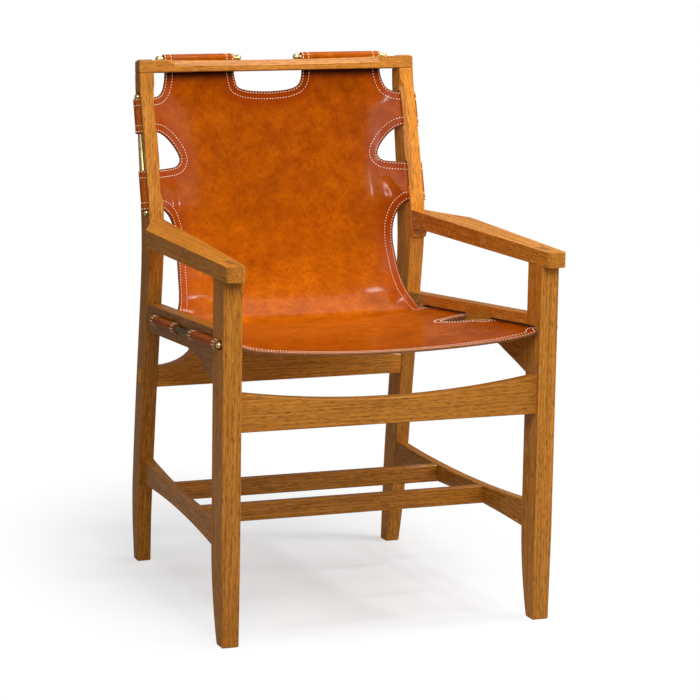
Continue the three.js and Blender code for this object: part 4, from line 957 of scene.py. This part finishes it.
def sheet_shading(shader, colour, normal):
    """The sheet's dye darker by its edges, a painted shadow under the top rail, painted shade down its length
    that leaves the crease lightest, and a groove under each row of thread.
    """
    edge = shader.add("Attribute", attribute_name="edge_distance").outputs["Fac"]
    flat = shader.add("UVMap", uv_map="flat").outputs["UV"]
    down = shader.add("SeparateXYZ", {"Vector": flat}).outputs["Y"]
    colour = shader.blend(shader.eased(edge, 0.0, 0.045, 0.75, 0.0), colour, NEAR_EDGE)
    colour = shader.blend(shader.eased(edge, 0.0, 0.003, 0.7, 0.0), colour, AT_EDGE)
    # Painted shadow under the top rail.
    colour = shader.blend(shader.eased(down, 0.016, 0.034, 0.96, 0.0), colour, RAIL_PAINTED_SHADOW)
    # Painted shade: the upper back and the seat towards its front edge are darkened, so the crease stays
    # lightest.
    colour = shader.tinted(colour, shader.eased(down, 0.2, 0.4, 1.0, 0.0), *BACK_PAINTED_SHADE)
    colour = shader.tinted(colour, shader.eased(down, 0.5, 0.8, 0.0, 1.0), *SEAT_PAINTED_SHADE)
    aside = [shader.math("ABSOLUTE", shader.math("SUBTRACT", edge, row * MM)) for row in STITCH_ROWS]
    grooves = [shader.eased(offset, 0.0, GROOVE_HALF_WIDTH, -1.0, 0.0) for offset in aside]
    return colour, shader.bump(shader.math("ADD", *grooves), 0.0004, 0.7, normal)


def tan_leather(name, is_sheet):
    """Glossy saddle leather: mottled dye, fine grain and scuffs, with painted shade on the rolls' copy and
    painted shadow and shade on the sheet.
    """
    shader = Shader(name)
    cloud = shader.noise(42.0, 7.0, 0.72)
    speckle = shader.noise(170.0, 4.0, 0.72)
    pale = shader.ramp(shader.noise(7.0, 3.0), (0.35, 0.0), (0.7, 0.4))
    patches = shader.ramp(shader.noise(17.0, 5.0, 0.66), (0.34, 0.45), (0.56, 0.0))
    colour = shader.blend(pale, shader.ramp(cloud, *DYE), PALE_DYE)
    colour = shader.blend(patches, colour, PATCH_DYE)
    colour = shader.blend(shader.ramp(speckle, (0.48, 0.0), (0.66, 0.5)), colour, SPECKLE_DYE)
    grain = shader.add("TexVoronoi", {"Vector": shader.place, "Scale": 900.0}, feature="F1")
    height = shader.math("MULTIPLY_ADD", speckle, 0.6, grain.outputs["Distance"])
    normal = shader.bump(height, 0.00005, 0.5)
    if is_sheet:
        colour, normal = sheet_shading(shader, colour, normal)
    else:
        # Painted shade: the rolls' colour is darkened throughout.
        colour = shader.blend(0.3, colour, ROLL_PAINTED_SHADE)
    scuffs = shader.noise(60.0, 5.0, 0.7, shader.scaled(shader.place, (1, 1, 0.3)))
    return shader.finish(
        Base_Color=colour, Roughness=shader.remap(scuffs, 0.35, 0.7, 0.27, 0.4), Normal=normal,
        Specular_IOR_Level=0.02, Coat_Weight=0.09, Coat_Roughness=0.11)


def flesh_leather():
    """The underside of the leather: paler, matt, with loose fibres."""
    shader = Shader("leather_underside")
    fibres = shader.noise(520.0, 5.0, 0.75)
    colour = shader.ramp(shader.noise(26.0, 5.0, 0.65), (0.3, (0.27, 0.12, 0.045)),
                         (0.5, (0.36, 0.175, 0.07)), (0.72, (0.43, 0.225, 0.1)))
    colour = shader.blend(shader.ramp(fibres, (0.45, 0.0), (0.8, 0.5)), colour, (0.22, 0.09, 0.03))
    return shader.finish(Base_Color=colour, Roughness=0.82, Normal=shader.bump(fibres, 0.0003, 0.6),
                         Sheen_Weight=0.25, Sheen_Roughness=0.5)


def cut_edge():
    """The burnished cut edge of the leather."""
    shader = Shader("leather_cut_edge")
    layers = shader.noise(300.0, 4.0, 0.7)
    colour = shader.ramp(layers, (0.3, (0.14, 0.05, 0.015)), (0.55, (0.24, 0.085, 0.022)),
                         (0.75, (0.33, 0.13, 0.04)))
    return shader.finish(Base_Color=colour, Roughness=0.6, Normal=shader.bump(layers, 0.0002, 0.5),
                         Specular_IOR_Level=0.1)


def thread():
    """Waxed cream thread."""
    shader = Shader("waxed_thread")
    dirt = shader.noise(120.0, 3.0)
    twist = shader.noise(2600.0, 2.0)
    colour = shader.ramp(dirt, (0.3, (0.80, 0.62, 0.38)), (0.6, (0.93, 0.80, 0.56)))
    return shader.finish(Base_Color=colour, Roughness=0.55, Normal=shader.bump(twist, 0.0002, 0.5))


def brass(name, painted_light):
    """Brass with fine turning marks, handling smudges and tarnish; a factor below one darkens its whole
    colour as painted shade.
    """
    shader = Shader(name)
    tarnish = shader.noise(90.0, 5.0, 0.7)
    marks = shader.noise(1500.0, 3.0)
    colour = shader.ramp(tarnish, (0.3, (0.48, 0.35, 0.13)), (0.5, (0.78, 0.60, 0.26)),
                         (0.7, (0.90, 0.73, 0.38)))
    # Painted shade: the factor scales the whole colour.
    return shader.finish(
        Base_Color=shader.tinted(colour, 1.0, painted_light, painted_light, painted_light), Metallic=1.0,
        Roughness=shader.remap(tarnish, 0.3, 0.7, 0.45, 0.3), Normal=shader.bump(marks, 0.00003, 0.5))


# The whole scene
UPRIGHT, DEEP, WIDE = (0, 0, 1), (0, 1, 0), (1, 0, 0)
GRAIN = {
    "front_leg": UPRIGHT, "rear_leg": (0, -0.06, 1), "arm": DEEP, "side_rail": (0, 1, -0.077),
    "side_stretcher": DEEP, "front_rail": WIDE, "rear_rail": WIDE, "top_rail": WIDE, "cross_stretcher": WIDE}
FIRST_SEED = 11


def oak_frame():
    """Each wooden node gets its own board of oak, with the grain along its length."""
    for seed, (name, node) in enumerate(sorted(nodes.items()), FIRST_SEED):
        for kind, along in GRAIN.items():
            if name.startswith(kind):
                material = oak(f"oak_{name}", along, seed)
                for slot in node.material_slots:
                    slot.material = material


# The way from each rod's axis to its slot, on the right
TOP_NECK, POST_NECK, SEAT_NECK = (0, 0, -1.0), (-1.2, -1.0, 0.0), (-1, 0, -0.35)


def fittings_plan(hand):
    """Each rod of a side: name, places along it, the way to its slot, its loops' ends and its own ends."""
    def at_top(x):
        return np.array([x, TOP_SLOT_Y, TOP_ROD_Z])

    def at_post(z):
        x, y = post_rod(z)
        return np.array([hand * x, y, z], float)

    def at_seat(y):
        return np.array([hand * seat_rod_x(y), y, seat_rod_z(y)], float)

    notch = TOP_NOTCH_OFFSET + hand * TOP_NOTCH_HALF
    outer = hand * TOP_TAB_OUTER - TOP_TAB_SKEW
    shift = TOP_ROD_SHIFT * (hand > 0)
    top_rod = (outer + hand * (ROLL_LAP + ROD_PAST_TOP) - shift, notch - hand * ROD_PAST_TOP - shift)
    top_loop = [x - TOP_TAB_SKEW for x in sorted((notch, outer))]
    lower_loop, upper_loop = ([z - ROLL_DROP for z in tab] for tab in (LOWER_TAB, UPPER_TAB))
    front_loop = (FRONT_TAB[0], FRONT_TAB[1] + ROLL_LAP)
    rear_loop = (REAR_TAB[0] + REAR_ROLL_INSET, REAR_TAB[1] - REAR_ROLL_TUCK)
    return [
        ("top", at_top, TOP_NECK, {"top": top_loop}, top_rod),
        ("back", at_post, POST_NECK, {"back_lower": lower_loop, "back_upper": upper_loop},
         (lower_loop[0] - ROD_PAST_POST, upper_loop[1] + ROD_PAST_POST)),
        ("seat", at_seat, SEAT_NECK, {"seat_front": front_loop, "seat_rear": rear_loop},
         (rear_loop[1] + ROD_PAST_SEAT, front_loop[0] - ROD_PAST_SEAT)),
    ]


def leather_and_rods():
    """The sheet, its stitches, the rolls at its tabs' ends and the rods in them."""
    # The seat rods' bars get a copy of the brass darkened as painted shade.
    metal, shaded_metal = brass("aged_brass", 1.0), brass("shaded_brass", 0.3)
    sewing = thread()
    under, edge = flesh_leather(), cut_edge()
    wrapped = [tan_leather("roll_leather", False), under, edge]
    sheet = leather_sheet([tan_leather("sheet_leather", True), under, edge])
    pieces = [sheet_stitching(sewing)]
    for side, hand in (("left", -1), ("right", 1)):
        for kind, at, neck, loops, ends in fittings_plan(hand):
            for loop, loop_ends in loops.items():
                pieces += loop_pieces(f"{loop}_loop_{side}", *map(at, loop_ends),
                                      np.multiply(neck, (hand, 1, 1)), wrapped, sewing)
            bar_metal = shaded_metal if kind == "seat" else metal
            pieces += rod_pieces(f"{kind}_rod_{side}", *map(at, ends), metal, bar_metal)
    for piece in [sheet, *pieces]:
        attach(piece, ROOT)
    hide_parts("leather_sling")
    return sheet, pieces


def loop_pieces(node, start, end, towards, materials, sewing):
    body, place = roll(f"{node}_roll", start, end, towards, materials)
    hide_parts(node)
    return [body, roll_stitching(f"{node}_stitching", place, sewing)]


# The photograph's camera, solved from its edges: pixels, radians, and millimetres from the front legs
PHOTO_SIZE, SENSOR_WIDTH, CLIP_END = 700, 36, 200
FOCAL, YAW, PITCH, ROLL_ANGLE = 3004.0748, 0.37451739, -0.18508705, 0.01631437
CAMERA_PLACE = (-1769.6261, -4312.5474, 1335.2711)


def camera():
    """The camera that the photograph was solved for."""
    data = bpy.data.cameras.new("camera")
    data.sensor_width = SENSOR_WIDTH
    data.lens = FOCAL / PHOTO_SIZE * SENSOR_WIDTH
    data.clip_end = CLIP_END
    ahead = Vector((math.sin(YAW) * math.cos(PITCH), math.cos(YAW) * math.cos(PITCH), math.sin(PITCH)))
    right = Vector((math.cos(YAW), -math.sin(YAW), 0))
    up = right.cross(ahead)
    tilted_right = math.cos(ROLL_ANGLE) * right + math.sin(ROLL_ANGLE) * up
    tilted_up = -math.sin(ROLL_ANGLE) * right + math.cos(ROLL_ANGLE) * up
    matrix = Matrix((tilted_right, tilted_up, -ahead)).transposed().to_4x4()
    x, y, z = CAMERA_PLACE
    matrix.translation = Vector((x, y + DEPTH_SHIFT, z)) * MM
    holder = linked("camera", data)
    holder.matrix_world = matrix
    bpy.context.scene.camera = holder


# Each: name, place, target, size and watts
LAMPS = [
    ("key", (-0.45, -1.45, 1.75), (0, 0, 0.6), (1.1, 0.9), 19),
    ("right", (1.8, -1.2, 1.6), (0, 0, 0.6), (1.1, 1.1), 14),
    ("top", (0.45, 0.05, 2.0), (0, 0, 0.4), (1.2, 0.7), 14),
    ("left", (-2.5, -0.8, 1.4), (0, 0, 0.6), (0.35, 0.7), 6)]
# Small lamps that the coat on the wood and leather mirrors at edges and folds
GLINTS = (-0.3, -1.8, 1.4), (1.48, -0.39, 0.93), (1.0, -0.25, 1.8), (0.25, -0.6, 1.9)
LAMPS += [("glint", place, (0, 0.1, 0.55), (0.1, 0.1), 4.5) for place in GLINTS]
SURROUND_LIGHT = 0.23
FLOOR_HALF = 60.0
FLOOR_GREY, FLOOR_SEEN = (0.42, 0.4, 0.38), (0.95, 0.95, 0.95)


def lamp(name, place, target, size, power):
    data = bpy.data.lights.new(name, "AREA")
    data.shape = "RECTANGLE"
    data.size, data.size_y = size
    data.energy = power
    holder = linked(name, data)
    holder.location = place
    holder.rotation_euler = (Vector(target) - Vector(place)).to_track_quat("-Z", "Y").to_euler()


def floor_paint():
    """Pale matt paint that the camera sees fading into the white surround away from the chair."""
    shader = Shader("floor_paint")
    seen = shader.add("LightPath").outputs["Is Camera Ray"]
    paint = shader.blend(seen, FLOOR_GREY, FLOOR_SEEN)
    shader.finish(Base_Color=paint, Roughness=0.9, Specular_IOR_Level=0.1)
    centred = shader.scaled(shader.place, (1.9, 1.2, 0), location=(0.0, -0.24, 0))
    fade = shader.eased(shader.vector_math("LENGTH", "Value", centred), 0.35, 1.0, 0.5, 1.0)
    white = shader.add("Emission", {"Color": (1, 1, 1, 1), "Strength": 1.0}).outputs[0]
    share = shader.math("MULTIPLY", fade, seen)
    both = shader.add("MixShader", {0: share, 1: shader.surface.outputs[0], 2: white}).outputs[0]
    shader.fill(shader.tree.nodes["Material Output"].inputs["Surface"], both)
    return shader.material


def surround():
    """A world that is white where the camera sees it, and a plain soft light elsewhere."""
    world = bpy.data.worlds.new("surround")
    bpy.context.scene.world = world
    world.use_nodes = True
    tree = world.node_tree
    tree.nodes.clear()
    path, seen, light, choose, output = (tree.nodes.new(f"ShaderNode{kind}") for kind in (
        "LightPath", "Background", "Background", "MixShader", "OutputWorld"))
    for background, strength in ((seen, 1.0), (light, SURROUND_LIGHT)):
        background.inputs["Color"].default_value = (1, 1, 1, 1)
        background.inputs["Strength"].default_value = strength
    sources = path.outputs["Is Camera Ray"], light.outputs[0], seen.outputs[0], choose.outputs[0]
    for source, socket in zip(sources, [*choose.inputs, output.inputs[0]]):
        tree.links.new(source, socket)


def studio():
    """A pale floor, soft lamps and a white surround."""
    mesh = bpy.data.meshes.new("floor")
    corners = [(x * FLOOR_HALF, y * FLOOR_HALF, 0) for x, y in ((-1, -1), (1, -1), (1, 1), (-1, 1))]
    mesh.from_pydata(corners, [], [(0, 1, 2, 3)])
    mesh.materials.append(floor_paint())
    floor = linked("floor", mesh)
    for settings in LAMPS:
        lamp(*settings)
    surround()
    bpy.context.scene.view_settings.view_transform = "Standard"


oak_frame()
leather, fittings = leather_and_rods()
camera()
studio()

bpy.context.view_layer.update()
